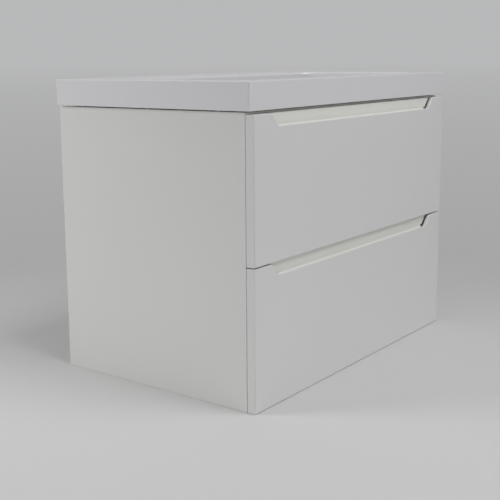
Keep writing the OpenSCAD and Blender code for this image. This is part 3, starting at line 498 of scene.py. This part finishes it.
# For each finish: its material's name, the setting that holds its colour, drift (share left at
# the darkest, scale), roughness (clean, smudged, scale), relief (scales of grain and wave,
# wave's share, depth in millionths of a metre) and what the shader's own sockets hold.
FINISHES = {
    "basin_white": ("Gloss gelcoat", "basin", (0.985, 4), (0.10, 0.16, 11), (60, 9, 0.75, 50),
                    {"IOR": 1.5, "Coat Weight": 0.35, "Coat Roughness": 0.04}),
    # The raw underside is lighter than the gelcoat, partly as painted light for the shaded gaps
    "basin_raw": ("Raw cast resin", "basin_raw", (0.93, 16), (0.55, 0.75, 30), (700, 60, 0.4, 300), {}),
    "lacquer_white": ("Satin lacquer", "lacquer", (0.988, 3), (0.28, 0.36, 8), (420, 7, 0.35, 40),
                      {"IOR": 1.5, "Coat Weight": 0.2, "Coat Roughness": 0.18}),
    "panel_white": ("White melamine", "panel", (0.985, 4), (0.32, 0.42, 10), (1500, 10, 0.3, 30), {}),
    # The edge band is lighter than the panels, partly as painted light for the shaded gaps
    "edge_band": ("Edge band", "band", (0.985, 6), (0.34, 0.44, 14), (1400, 12, 0.3, 30), {}),
    "drawer_white": ("Drawer melamine", "drawer", (0.98, 6), (0.36, 0.46, 14), (1300, 14, 0.3, 40), {}),
    "grip_white": ("Satin grip strip", "grip", (0.985, 6), (0.36, 0.46, 16), (1100, 12, 0.3, 30), {}),
    "runner_steel": ("Zinc-plated runner", "zinc", (0.86, 40), (0.26, 0.42, 30), (500, 30, 0.4, 40), METAL),
    "fixing_steel": ("Zinc-plated fixing", "fixing", (0.84, 90), (0.3, 0.46, 60), (900, 60, 0.4, 40), METAL),
    "chrome": ("Polished chrome", "chrome", (0.97, 20), (0.05, 0.12, 40), (300, 20, 0.8, 10), METAL),
    "nut_brass": ("Machined brass", "brass", (0.85, 60), (0.24, 0.38, 40), (700, 40, 0.4, 40), METAL),
    "seal_rubber": ("Black rubber", "rubber", (0.85, 60), (0.55, 0.7, 60), (900, 60, 0.4, 80), {}),
    "pad_soft": ("Soft pad", "pad", (0.96, 80), (0.30, 0.4, 60), (900, 60, 0.5, 30),
                 {"Subsurface Weight": 0.2, "Subsurface Scale": 0.003}),
    "hanger_plastic": ("Moulded hanger", "hanger", (0.97, 30), (0.38, 0.5, 40), (1400, 30, 0.2, 50), {}),
    "clip_plastic": ("Moulded clip", "clip", (0.94, 30), (0.4, 0.52, 40), (1400, 30, 0.2, 50), {}),
    "beech": ("Beech", "beech", (0.72, 220), (0.5, 0.62, 80), (900, 90, 0.4, 100), {}),
}

# Scale of the pattern on each axis, where it runs along a piece.
STRETCHED = {"runner_steel": (1, 0.06, 1), "beech": (0.08, 1, 1)}


def finish(name):
    """The material of a finish, made when it is first asked for."""
    label, shade, drift, roughness, relief, fixed = FINISHES[name]
    if label in bpy.data.materials:
        return bpy.data.materials[label]
    base = linear(getattr(bpy.context.scene.vanity_finishes, shade))
    darkest = [v * drift[0] for v in base[:3]] + [1.0]
    material = bpy.data.materials.new(label)
    material.use_nodes = True
    tree = material.node_tree
    where = tree.nodes.new("ShaderNodeTexCoord").outputs["Object"]
    if name in STRETCHED:
        mapping = add(tree, "ShaderNodeMapping", "Run", Vector=where, Scale=STRETCHED[name])
        where = mapping.outputs["Vector"]
    tone = group_node(tree, tone_drift, Vector=where, Colour=base, Darkest=darkest,
                      Scale=drift[1])
    marks = group_node(tree, handling_marks, Vector=where, Clean=roughness[0],
                       Smudged=roughness[1], Scale=roughness[2])
    grain = group_node(tree, surface_grain, Vector=where, Grain=relief[0], Wave=relief[1],
                       Wave_share=relief[2])
    bump = add(tree, "ShaderNodeBump", "Relief", Height=grain.outputs["Height"], Strength=1.0,
               Distance=relief[3] / 1e6)
    feed_all(tree.nodes["Principled BSDF"],
             {"Base Color": tone.outputs["Colour"], "Roughness": marks.outputs["Roughness"],
              "Normal": bump.outputs["Normal"], **fixed})
    return material


# ---------- washbasin

CORNER_STEPS = 8  # steps round a corner of the bowl
LIP_ANGLES = (100, 90, 75, 60, 45, 30, 15, 0)  # degrees; 100 stands for a level above the deck
LIP_ABOVE = 1.3  # height of that level over the middle of the lip's rounding, in radii
FLOOR_ANGLES = (11, 0, -12, -24, -36, -48, -60, -70, -80)
SHELL_DROP = 0.002  # from the deck's top down to the shell's start
HOLLOW_EDGE, HOLLOW_REACH = 0.006, 0.05  # rounding inside the underside, reach of its tool
SEAT_GAP, SEAT_DEPTH, HOLE = 0.001, 0.0045, 0.023  # waste's seat, and the hole's radius
COLLAR, COLLAR_FILLET, COLLAR_EDGE = 0.034, 0.006, 0.0015  # radius round the hole, roundings
TAP_FLARE = 0.0012  # rounding of the tap hole's edge
WAY, WAY_LENGTH = 0.011, 0.020  # radius and length of the overflow's way through the bowl
WAY_BEHIND, DUCT_BEHIND = 0.005, 0.001  # middle of the way and start of the duct, in the wall
# The duct inside: half its width, its depth behind the shell, its top over the overflow's
# middle, and its ceiling below the waste's seat.
DUCT, DUCT_DEPTH, DUCT_RISE, DUCT_DROP = 0.014, 0.012, 0.014, 0.017
DUCT_WALL, DUCT_EDGE = 0.006, 0.003  # its wall, and the rounding outside


class BasinPlan:
    """Places that the washbasin's shapes start from, from its CAD and its neighbours'."""

    def __init__(self, sizes):
        self.low, self.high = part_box("washbasin")
        self.z_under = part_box("basin_pads")[1].z
        self.y_rear = self.high.y - sizes.back_deck
        self.z_waste = self.high.z - sizes.depth - sizes.fall
        low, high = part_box("waste_body")
        self.y_waste = (low.y + high.y) / 2
        self.seat = (high.x - low.x) / 2 + SEAT_GAP
        low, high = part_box("overflow_ring")
        self.z_over = (low.z + high.z) / 2


def section(x, y_low, y_high, z, radius, spread=0.0):
    """Points of one level of the bowl, seen from above: a rectangle with round corners. The
    spread, in degrees, keeps a corner's points off the ends of its arc."""
    points = []
    corners = ((1, y_high, 0), (-1, y_high, 90), (-1, y_low, 180), (1, y_low, 270))
    for side, y, start in corners:
        cx = side * (x - radius)
        cy = y - radius if y == y_high else y + radius
        for i in range(CORNER_STEPS + 1):
            a = math.radians(start + spread + (90 - 2 * spread) * i / CORNER_STEPS)
            points.append(Vector((cx + radius * math.cos(a), cy + radius * math.sin(a), z)))
    return points


def lofted(levels):
    """A closed body through levels of equally many points, from the first to the last."""
    bm = bmesh.new()
    loop = bmesh.ops.create_circle(bm, segments=len(levels[0]), radius=1)["verts"]
    first = list(loop)
    for vert, point in zip(loop, levels[0]):
        vert.co = point
    edges = list(bm.edges)
    for level in levels[1:]:
        grown = bmesh.ops.extrude_edge_only(bm, edges=edges)["geom"]
        new = {g for g in grown if isinstance(g, bmesh.types.BMVert)}
        loop = [next(e.other_vert(v) for e in v.link_edges if e.other_vert(v) in new)
                for v in loop]
        for vert, point in zip(loop, level):
            vert.co = point
        edges = [e for e in grown if isinstance(e, bmesh.types.BMEdge)
                 and e.verts[0] in new and e.verts[1] in new]
    bmesh.ops.contextual_create(bm, geom=first)
    bmesh.ops.contextual_create(bm, geom=loop)
    bmesh.ops.recalc_face_normals(bm, faces=bm.faces)
    return bm


def bowl_levels(plan, sizes, grow=0.0):
    """Levels of the bowl, or of its shell when grown, from its edge to its flat floor."""
    x_top = -plan.low.x - sizes.side_deck + grow
    y_front = plan.low.y + sizes.front_deck - grow
    y_rear = plan.y_rear + grow
    z_top = plan.high.z
    ball = sizes.floor_round + grow
    z_ball = z_top - sizes.depth - (sizes.fall + grow if grow else 0) + ball
    x_ball = x_top - sizes.draft - ball
    y_ball_front = y_front + sizes.draft + ball
    y_ball_rear = y_rear - ball
    if grow:
        levels = [section(x_top, y_front, y_rear, z_top - SHELL_DROP, sizes.corner + grow)]
    else:
        levels, lip = [], sizes.lip_round
        for angle in LIP_ANGLES:
            out = lip * (1 - math.cos(math.radians(min(angle, 90))))
            rise = lip * (math.sin(math.radians(angle)) if angle <= 90 else LIP_ABOVE)
            levels.append(section(x_top + out, y_front - out, y_rear + out,
                                  z_top - lip + rise, sizes.corner + out))
    for a in map(math.radians, FLOOR_ANGLES):
        out, rise = ball * math.cos(a), ball * math.sin(a)
        levels.append(section(x_ball + out, y_ball_front - out, y_ball_rear + out,
                              z_ball + rise, out))
    return levels


def raw(bm):
    """A tool whose faces all have a piece's second finish, the unpolished one, which is
    lighter partly as painted light in the gaps under the slab.
    """
    for face in bm.faces:
        face.material_index = 1
    return bm


def slab(plan, sizes):
    """The slab with its round edges, hollow from below up to the deck and within the rim."""
    bm = box((plan.low.x, plan.low.y, plan.z_under), plan.high)
    upright = [e for e in bm.edges if abs(e.verts[0].co.z - e.verts[1].co.z) > TINY]
    round_edges(bm, upright, sizes.corner_round, 5)
    for z, radius in ((plan.high.z, sizes.edge_round), (plan.z_under, sizes.under_round)):
        level = [e for e in outer_edges(bm, 0.0)
                 if all(abs(v.co.z - z) < TINY for v in e.verts)]
        round_edges(bm, level, radius, 4)
    rim = sizes.rim
    hollow = box((plan.low.x + rim, plan.low.y + rim, plan.z_under - HOLLOW_REACH),
                 (plan.high.x - rim, plan.high.y - sizes.rim_back, plan.high.z - sizes.deck),
                 HOLLOW_EDGE)
    return less(bm, raw(hollow))


def duct(plan, sizes, y_behind, wall=0.0, edge=0.0):
    """Two boxes of the overflow's duct, under the bowl and up behind it: its hollow, or its
    outside where a wall is given."""
    x, y_back = DUCT + wall, plan.y_rear + sizes.wall + DUCT_DEPTH + wall
    for y_low, z_high in ((plan.y_waste, plan.z_waste - DUCT_DROP),
                          (y_behind, plan.z_over + DUCT_RISE)):
        yield raw(box((-x, y_low, plan.low.z + DUCT_WALL - wall), (x, y_back, z_high + wall),
                      edge))


def waste_collar(plan, sizes):
    """The round foot under the bowl, round the waste's hole."""
    wide, z_foot = COLLAR + COLLAR_FILLET, plan.low.z
    z_fillet = plan.z_waste - sizes.wall - COLLAR_FILLET
    return turned([(0, plan.z_waste), (wide, plan.z_waste),
                   *arc(wide, z_fillet, COLLAR_FILLET, 90, 180),
                   *arc(COLLAR - COLLAR_EDGE, z_foot + COLLAR_EDGE, COLLAR_EDGE, 0, -90, 3),
                   (0, z_foot)])


def waste_hole(plan):
    """Tool for the waste's seat in the bowl's floor and the hole below it."""
    z_seat, z_end = plan.z_waste - SEAT_DEPTH, plan.low.z - OVERRUN
    return turned([(0, plan.high.z), (plan.seat, plan.high.z), (plan.seat, z_seat),
                   (HOLE, z_seat), (HOLE, z_end), (0, z_end)])


def tap_hole(plan, sizes):
    """Tool for the tap hole with its flared upper edge."""
    r, wide, z_deck = sizes.tap_radius, sizes.tap_radius + TAP_FLARE, plan.high.z
    z_above, z_end = z_deck + OVERRUN, z_deck - sizes.deck - OVERRUN
    return turned([(0, z_above), (wide, z_above),
                   *arc(wide, z_deck - TAP_FLARE, TAP_FLARE, 90, 180), (r, z_end), (0, z_end)])


def overflow_way(plan):
    """Tool for the round way through the bowl behind the overflow's ring."""
    bm = bmesh.new()
    middle = Matrix.Translation((0, plan.y_rear + WAY_BEHIND, plan.z_over))
    bmesh.ops.create_cone(bm, cap_ends=True, segments=48, radius1=WAY, radius2=WAY,
                          depth=WAY_LENGTH, matrix=middle @ Matrix.Rotation(QUARTER, 4, "X"))
    return bm


class VANITY_OT_washbasin(Maker, bpy.types.Operator):
    """Build the slab washbasin with its bowl, overflow duct and underside"""
    bl_idname = "vanity.washbasin"
    bl_label = "Washbasin"

    def execute(self, context):
        sizes = context.scene.vanity_basin
        plan = BasinPlan(sizes)
        to_waste = Matrix.Translation((0, plan.y_waste, 0))
        to_tap = Matrix.Translation((0, plan.high.y - sizes.tap_from_back, 0))

        body = slab(plan, sizes)
        body = plus(body, raw(lofted(bowl_levels(plan, sizes, sizes.wall))))
        body = plus(body, raw(moved(waste_collar(plan, sizes), to_waste)))
        for run in duct(plan, sizes, plan.y_rear + DUCT_BEHIND, DUCT_WALL, DUCT_EDGE):
            body = plus(body, run)

        y, r = plan.y_waste, plan.seat
        even = 45 / (CORNER_STEPS + 1)
        seat_level = section(r, y - r, y + r, plan.z_waste, r, even)
        body = less(body, lofted([*bowl_levels(plan, sizes), seat_level]))
        body = less(body, moved(waste_hole(plan), to_waste))
        body = less(body, moved(tap_hole(plan, sizes), to_tap))
        body = less(body, overflow_way(plan))
        for run in duct(plan, sizes, plan.y_rear + sizes.wall):
            body = less(body, run)

        # The underside takes the raw finish, whose lighter colour is partly painted light in the gap under
        # the slab
        for face in body.faces:
            if face.normal.z < -FACING and face.calc_center_median().z < plan.z_under + TINY:
                face.material_index = 1
        piece("washbasin_slab", body, "washbasin", [finish("basin_white"), finish("basin_raw")])
        return {"FINISHED"}


# ---------- drawer fronts

FRONT_OVERRUN = 0.002  # reach of a tool past a front


def recessed_board(sizes, low, high):
    """A front's board, with the trapezoid recess in its upper edge and its edges rounded."""
    x, z_high = high.x, high.z
    x_top, x_bottom = x - sizes.top_in, x - sizes.bottom_in
    z_recess = z_high - sizes.recess_height
    bm = bmesh.new()
    verts = [bm.verts.new((px, low.y, pz)) for px, pz in (
        (-x, low.z), (x, low.z), (x, z_high), (x_top, z_high), (x_bottom, z_recess),
        (-x_bottom, z_recess), (-x_top, z_high), (-x, z_high))]
    bm.faces.new(verts)
    bend = QUARTER - math.atan((x_top - x_bottom) / sizes.recess_height)
    for pick, radius in (((3, 6), sizes.shoulder), ((4, 5), sizes.inner_corner)):
        bmesh.ops.bevel(bm, geom=[verts[i] for i in pick], offset=radius * math.tan(bend / 2),
                        offset_type="OFFSET", segments=6, profile=0.5, affect="VERTICES",
                        clamp_overlap=False, material=-1)
    thicken(bm, (0, high.y - low.y, 0))
    for y, radius, segments in ((low.y, sizes.edge_round, 5), (high.y, sizes.back_round, 3)):
        edges = [e for e in bm.edges if all(abs(v.co.y - y) < TINY for v in e.verts)]
        round_edges(bm, edges, radius, segments)
    return bm


def trough(sizes, low, high, x, y_front, z_open, z_front):
    """Tool for a cut along a front's back, from where it is open down to the strip's foot."""
    y_grip, y_out = low.y + sizes.grip_depth, high.y + FRONT_OVERRUN
    z_foot = high.z - sizes.recess_height - sizes.foot
    profile = [(y_front, z_open), (y_front, z_front), (y_grip, z_foot), (y_out, z_foot),
               (y_out, z_open)]
    return drawn_out([(-x, y, z) for y, z in profile], (2 * x, 0, 0))


def front_board(node):
    """A front with its recess, the seat of the strip's foot and the pockets at its ends."""
    sizes = bpy.context.scene.vanity_fronts
    low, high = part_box(node)
    z_recess = high.z - sizes.recess_height
    bm = recessed_board(sizes, low, high)
    seat = trough(sizes, low, high, high.x - sizes.bottom_in - sizes.inner_corner,
                  low.y + sizes.lip, z_recess + FRONT_OVERRUN, z_recess - sizes.lip_height)
    bm = less(bm, seat)
    pocket = trough(sizes, low, high, high.x - sizes.top_in + sizes.pocket,
                    low.y + sizes.pocket_from, high.z + FRONT_OVERRUN, z_recess)
    bm = less(bm, pocket)
    # A front's top and back take the edge band's finish; its lighter colour on the top face is painted light
    # in the shaded gap under the basin
    for face in bm.faces:
        on_top = face.normal.z > FACING and face.calc_center_median().z > high.z - TINY
        face.material_index = int(on_top or face.normal.y > FACING)
    piece(node + "_lacquered", bm, node, [finish(SLOT_OF[node]), finish("edge_band")])


class VANITY_OT_fronts(Maker, bpy.types.Operator):
    """Build the two lacquered drawer fronts with their finger recesses"""
    bl_idname = "vanity.fronts"
    bl_label = "Drawer Fronts"

    def execute(self, context):
        for node in ("upper_front", "lower_front"):
            front_board(node)
        return {"FINISHED"}


class VANITY_OT_grips(Maker, bpy.types.Operator):
    """Build the grip strips that close the finger recesses behind"""
    bl_idname = "vanity.grips"
    bl_label = "Grip Strips"

    def execute(self, context):
        radius = context.scene.vanity_edges.board
        sizes = context.scene.vanity_fronts
        y_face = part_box("upper_front")[0].y + sizes.grip_depth
        for node in ("upper_grip", "lower_grip"):
            bm = merged(node)
            right_end = [v for v in bm.verts if v.co.x > sizes.slit_from]
            bmesh.ops.translate(bm, verts=right_end, vec=(-sizes.slit_more, 0, 0))
            behind = [e for e in outer_edges(bm, 2 * radius)
                      if min(v.co.y for v in e.verts) > y_face - TINY]
            round_edges(bm, behind, radius, 3)
            piece(node + "_coved", bm, node)
        return {"FINISHED"}


# ---------- boards

class VANITY_OT_boards(Maker, bpy.types.Operator):
    """Build the cabinet's panels and rails with eased edge bands"""
    bl_idname = "vanity.boards"
    bl_label = "Cabinet Boards"

    def execute(self, context):
        radius = context.scene.vanity_edges.board
        for node, banded in (("side_panel_left", "yz"), ("side_panel_right", "yz"),
                             ("bottom_panel", "y"), ("middle_rail", "y"), ("front_rail", "yz"),
                             ("back_rail_top", "z"), ("back_rail_bottom", "z")):
            eased(node, radius, banded=banded)
        return {"FINISHED"}


class VANITY_OT_drawer_boxes(Maker, bpy.types.Operator):
    """Build both drawer boxes, the upper one with its cut-out for the waste"""
    bl_idname = "vanity.drawer_boxes"
    bl_label = "Drawer Boxes"

    def execute(self, context):
        radius = context.scene.vanity_edges.board
        upper = ("box_front", "box_left", "box_right", "box_bottom", "back_left", "back_right")
        lower = ("box_front", "box_left", "box_right", "box_bottom", "box_back")
        walls = ("cutout_wall_left", "cutout_wall_right", "cutout_wall_front")
        for node in (*("upper_" + n for n in upper), *("lower_" + n for n in lower), *walls):
            eased(node, radius)
        return {"FINISHED"}


# ---------- metal and plastic

class VANITY_OT_runners(Maker, bpy.types.Operator):
    """Build the folded steel runners: fixed rails, middle slides and carriers"""
    bl_idname = "vanity.runners"
    bl_label = "Runners"

    def execute(self, context):
        radius = context.scene.vanity_edges.steel
        for member in ("rail", "slide", "carrier"):
            for level in ("upper", "lower"):
                for side in ("left", "right"):
                    eased(f"{member}_{level}_{side}", radius, 2, FOLD)
        return {"FINISHED"}


# The plug: its dome as shares of the cap's radius and drops from its top; the rounding of the
# cap's edge and how far its middle lies below the top; the chamfer underneath, in from the
# edge, wide and tall; the gap over the waste; the stem's radius and the chamfer of its end.
DOME = ((0, 0), (0.35, 0.00012), (0.65, 0.0005), (0.88, 0.0012))
CAP_EDGE, CAP_DROP = 0.0018, 0.0034
CAP_STEP, CAP_WIDE, CAP_TALL = 0.004, 0.001, 0.0004
CAP_GAP = 0.0003
STEM, STEM_EDGE = 0.004, 0.0006
# The overflow ring: radii of its tube; its flange, how far the flange's foot is drawn in, and
# the roundings outside and at the mouth.
RING_TUBE, RING_BORE = 0.0109, 0.0094
FLANGE, FLANGE_FOOT, FLANGE_EDGE, MOUTH_EDGE = 0.0025, 0.0003, 0.0015, 0.0016


def waste_plug():
    low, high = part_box("waste_plug")
    cap, top = (high.x - low.x) / 2, high.z
    z_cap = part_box("waste_body")[1].z + CAP_GAP
    body = turned([*((cap * across, top - drop) for across, drop in DOME),
                   *arc(cap - CAP_EDGE, top - CAP_DROP, CAP_EDGE, 60, -90, 6),
                   (cap - CAP_STEP, z_cap + CAP_TALL), (cap - CAP_STEP - CAP_WIDE, z_cap),
                   (STEM, z_cap), (STEM, low.z + STEM_EDGE), (STEM - STEM_EDGE, low.z),
                   (0, low.z)])
    to_waste = Matrix.Translation((0, (low.y + high.y) / 2, 0))
    piece("waste_plug_domed", moved(body, to_waste), "waste_plug")


def overflow_ring():
    low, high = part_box("overflow_ring")
    r, depth = (high.x - low.x) / 2, high.y - low.y
    foot, edge = depth - FLANGE, depth - MOUTH_EDGE
    body = turned([(RING_BORE, 0), (RING_TUBE, 0), (RING_TUBE, foot), (r - FLANGE_FOOT, foot),
                   *arc(r - FLANGE_EDGE, edge, FLANGE_EDGE, 0, 60),
                   *arc(RING_BORE + MOUTH_EDGE, edge, MOUTH_EDGE, 110, 180),
                   (RING_BORE, 0)], 48)
    to_wall = Matrix.Translation((0, high.y, (low.z + high.z) / 2))
    piece("overflow_ring_rounded", moved(body, to_wall @ Matrix.Rotation(QUARTER, 4, "X")),
          "overflow_ring")


class VANITY_OT_waste(Maker, bpy.types.Operator):
    """Build the waste with its seals, nut and push plug, and the overflow ring"""
    bl_idname = "vanity.waste"
    bl_label = "Waste and Overflow"

    def execute(self, context):
        for node in ("waste_body", "waste_gaskets", "waste_nut"):
            eased(node, context.scene.vanity_edges.machined, 2, THIN)
        waste_plug()
        overflow_ring()
        return {"FINISHED"}


class VANITY_OT_wall_fixings(Maker, bpy.types.Operator):
    """Build the hangers with their hooks and adjusters, and the plates on the wall"""
    bl_idname = "vanity.wall_fixings"
    bl_label = "Wall Fixings"

    def execute(self, context):
        sizes = context.scene.vanity_edges
        for side in ("left", "right"):
            eased("hanger_" + side, sizes.moulded, 3)
            eased("wall_plate_" + side, sizes.machined)
        eased("hooks", sizes.machined)
        eased("hanger_adjusters", sizes.machined / 2, 2, SMALL)
        return {"FINISHED"}


# A screw: its head as shares of the radius and height, then shares of the shank's radius.
HEAD_R, HEAD_H, SHANK_R, PITCH = 0.004, 0.002, 0.002, 0.0012
HEAD = ((0, 1), (0.55, 0.95), (0.85, 0.78), (0.98, 0.45), (1, 0.12), (0.975, 0))
NECK, ROOT, POINT = 0.8, 0.72, 0.7
NECK_LENGTH, POINT_LENGTH = 0.0006, 0.003
CROSS_R, CROSS_HALF, CROSS_DEEP = 0.002, 0.0004, 0.0011  # reach, half width and depth
TWIST = 0.7  # radians from one screw's cross to the next one's


def screw(under_head):
    """A pan-head screw with a cross recess, its head above z = 0 and its point below."""
    profile = [(HEAD_R * across, HEAD_H * up) for across, up in HEAD]
    profile.append((SHANK_R * NECK, 0))
    z = -NECK_LENGTH
    while z - PITCH > POINT_LENGTH - under_head:
        profile += [(SHANK_R * ROOT, z), (SHANK_R, z - PITCH / 2)]
        z -= PITCH
    profile += [(SHANK_R * POINT, z), (0, -under_head)]
    bm = turned(profile, 20)
    for angle in (0, QUARTER):
        arm = box((-CROSS_R, -CROSS_HALF, HEAD_H - CROSS_DEEP),
                  (CROSS_R, CROSS_HALF, HEAD_H + OVERRUN))
        bm = less(bm, moved(arm, Matrix.Rotation(angle, 4, "Z")))
    return bm


def screw_row(node, axis):
    """One screw for each solid of the node, its head towards the cabinet's inside."""
    places = []
    for count, (low, high) in enumerate(solids(node), 1):
        at = (low + high) / 2
        if axis == "X":
            side = 1 if at.x > 0 else -1
            at.x = (low.x if side > 0 else high.x) + side * HEAD_H
            under = (high.x - low.x) - HEAD_H
            face = Matrix.Rotation(-side * QUARTER, 4, "Y")
        else:
            at.y = high.y - HEAD_H
            under = (high.y - low.y) - HEAD_H
            face = Matrix.Rotation(-QUARTER, 4, "X")
        places.append(Matrix.Translation(at) @ face @ Matrix.Rotation(TWIST * count, 4, "Z"))
    piece(node + "_cross_head", repeated(screw(under), places), node)


class VANITY_OT_screws(Maker, bpy.types.Operator):
    """Build the cross-head screws of the runners, the drawer fronts and the hangers"""
    bl_idname = "vanity.screws"
    bl_label = "Screws"

    def execute(self, context):
        for node, axis in (("rail_screws", "X"), ("hanger_screws", "X"),
                           ("upper_front_screws", "Y"), ("lower_front_screws", "Y")):
            screw_row(node, axis)
        return {"FINISHED"}


class VANITY_OT_small_parts(Maker, bpy.types.Operator):
    """Build pads, bumpers, release clips, cams, cam bolts and dowels"""
    bl_idname = "vanity.small_parts"
    bl_label = "Pads, Clips and Cams"

    def execute(self, context):
        sizes = context.scene.vanity_edges
        for node in ("basin_pads", "front_bumpers"):
            eased(node, sizes.machined, 2, SMALL)
        for node in ("upper_clips", "lower_clips"):
            eased(node, sizes.moulded, 3)
        for node in ("cam_locks", "cam_bolts", "dowels"):
            eased(node, sizes.machined / 2, 1, SMALL)
        return {"FINISHED"}


# ---------- studio

# Setting that holds a lamp's power, its place, its width, whether glossy surfaces show it.
SOFT_BOXES = (("overhead", (0, -1.8, 3.0), 2.0, True), ("left", (-1.6, 1.3, 1.3), 0.8, False))
SENSOR = 36  # width of the camera's sensor, in millimetres
NEAREST, FARTHEST = 0.05, 200
FLOOR = 60  # radius of the floor
FLOOR_DROP = 0.0001  # keeps it clear of the cabinet's lower edges
SWEEP = (1.0, 2.0)  # the floor fades from its own colour to a darker glow, painted shade for the light's falloff
DISTANCE = (0.25, 1.75)  # then that to the backdrop's, in powers of ten of a metre


def soft_box(name, at, towards, size, watts, mirrored):
    data = bpy.data.lights.new(name, "AREA")
    data.shape, data.size, data.energy = "SQUARE", size, watts
    item = bpy.data.objects.new(name, data)
    item.location = at
    item.rotation_euler = (Vector(towards) - Vector(at)).to_track_quat("-Z", "Y").to_euler()
    item.visible_camera = False
    item.visible_glossy = mirrored
    bpy.context.scene.collection.objects.link(item)


def seen(tree):
    """1 for rays from the camera, mirrored or straight, and 0 for scattered light."""
    ray = tree.nodes.new("ShaderNodeLightPath").outputs
    either = maths(tree, "MAXIMUM", ray["Is Camera Ray"], ray["Is Glossy Ray"])
    return maths(tree, "MAXIMUM", either, ray["Is Transmission Ray"])


def make_camera(scene, studio):
    data = bpy.data.cameras.new("Camera")
    data.lens, data.sensor_width = studio.lens, SENSOR
    data.shift_x, data.shift_y = studio.shift_x, studio.shift_y
    data.clip_start, data.clip_end = NEAREST, FARTHEST
    item = bpy.data.objects.new("Camera", data)
    aim = (Matrix.Rotation(-studio.camera_turn, 4, "Z")
           @ Matrix.Rotation(QUARTER + studio.camera_tilt, 4, "X")
           @ Matrix.Rotation(studio.camera_roll, 4, "Z"))
    item.matrix_world = Matrix.Translation(studio.camera_at) @ aim
    scene.collection.objects.link(item)
    scene.camera = item


def make_floor(studio):
    """The floor: pale near the cabinet, like the backdrop at the horizon, past a darker glow
    of painted shade; the light it bounces is a painted pool, brightest near the cabinet.
    """
    bm = bmesh.new()
    bmesh.ops.create_circle(bm, cap_ends=True, segments=96, radius=FLOOR,
                            matrix=Matrix.Translation((0, 0, -FLOOR_DROP)))
    material = bpy.data.materials.new("Pale floor")
    material.use_nodes = True
    tree = material.node_tree
    where = tree.nodes.new("ShaderNodeTexCoord").outputs["Object"]
    offset = maths(tree, "SUBTRACT", where, studio.sweep_at, kind="ShaderNodeVectorMath",
                   result="Vector")
    away = maths(tree, "LENGTH", offset, kind="ShaderNodeVectorMath")
    sweep = add(tree, "ShaderNodeMapRange", "Sweep", Value=away, From_Min=SWEEP[0],
                From_Max=SWEEP[1])
    sweep.interpolation_type = "SMOOTHSTEP"
    painted_fade = sweep.outputs["Result"]
    distance = add(tree, "ShaderNodeMapRange", "Distance",
                   Value=maths(tree, "LOGARITHM", away, 10.0),
                   From_Min=DISTANCE[0], From_Max=DISTANCE[1])

    # Painted light: scattered rays see the light bounce colour near the cabinet fading to the darker far
    # colour, and camera rays further out see a glow of painted shade
    by_camera, distant = seen(tree), linear(studio.distant)
    near = colour_mix(tree, painted_fade, linear(studio.floor_bounce), distant)
    painted_far_glow = colour_mix(tree, distance.outputs["Result"], distant, linear(studio.backdrop))
    shader = feed_all(tree.nodes["Principled BSDF"], {
        "Base Color": colour_mix(tree, by_camera, near, linear(studio.floor)), "Roughness": 0.7})
    glow = add(tree, "ShaderNodeEmission", Color=painted_far_glow)
    mix = shader_mix(tree, maths(tree, "MULTIPLY", painted_fade, by_camera), shader.outputs[0],
                     glow.outputs[0])
    feed(tree.nodes["Material Output"].inputs["Surface"], mix)
    loose_object("Floor", bm, [material])


def make_backdrop(scene, studio):
    """The world: the backdrop's colour as it is seen, and an even light on the object."""
    world = scene.world or bpy.data.worlds.new("World")
    scene.world = world
    world.use_nodes = True
    tree = world.node_tree
    tree.nodes.clear()
    shown = add(tree, "ShaderNodeBackground", "Backdrop", Color=linear(studio.backdrop))
    light = add(tree, "ShaderNodeBackground", "Sky", Color=(1, 1, 1, 1), Strength=studio.sky)
    add(tree, "ShaderNodeOutputWorld",
        Surface=shader_mix(tree, seen(tree), light.outputs[0], shown.outputs[0]))


class VANITY_OT_stage(Maker, bpy.types.Operator):
    """Set the camera, the pale floor, the backdrop and the soft studio light"""
    bl_idname = "vanity.stage"
    bl_label = "Studio"

    def execute(self, context):
        studio = context.scene.vanity_studio
        context.scene.view_settings.view_transform = "Standard"
        make_camera(context.scene, studio)
        make_floor(studio)
        make_backdrop(context.scene, studio)
        for name, at, size, mirrored in SOFT_BOXES:
            soft_box(name, at, studio.middle, size, getattr(studio, name), mirrored)
        return {"FINISHED"}


# ---------- add-on

MAKERS = (
    VANITY_OT_washbasin, VANITY_OT_fronts, VANITY_OT_grips, VANITY_OT_boards,
    VANITY_OT_drawer_boxes, VANITY_OT_runners, VANITY_OT_waste, VANITY_OT_wall_fixings,
    VANITY_OT_screws, VANITY_OT_small_parts, VANITY_OT_stage,
)


class VANITY_PT_sidebar(bpy.types.Panel):
    """Lists the vanity's makers and their settings"""
    bl_idname = "VANITY_PT_sidebar"
    bl_label = "Floating Vanity"
    bl_space_type = "VIEW_3D"
    bl_region_type = "UI"
    bl_category = "Vanity"

    def draw(self, context):
        for maker in MAKERS:
            self.layout.operator(maker.bl_idname)
        for name, group in SETTINGS.items():
            part = self.layout.box()
            for field in group.__annotations__:
                part.prop(getattr(context.scene, name), field)


CLASSES = (*SETTINGS.values(), *MAKERS, VANITY_PT_sidebar)


def register():
    for item in CLASSES:
        bpy.utils.register_class(item)
    for name, group in SETTINGS.items():
        setattr(bpy.types.Scene, name, PointerProperty(type=group))


def unregister():
    for name in SETTINGS:
        delattr(bpy.types.Scene, name)
    for item in reversed(CLASSES):
        bpy.utils.unregister_class(item)


def main():
    register()
    for maker in MAKERS:
        group, name = maker.bl_idname.split(".")
        getattr(getattr(bpy.ops, group), name)()


if __name__ == "__main__":
    main()
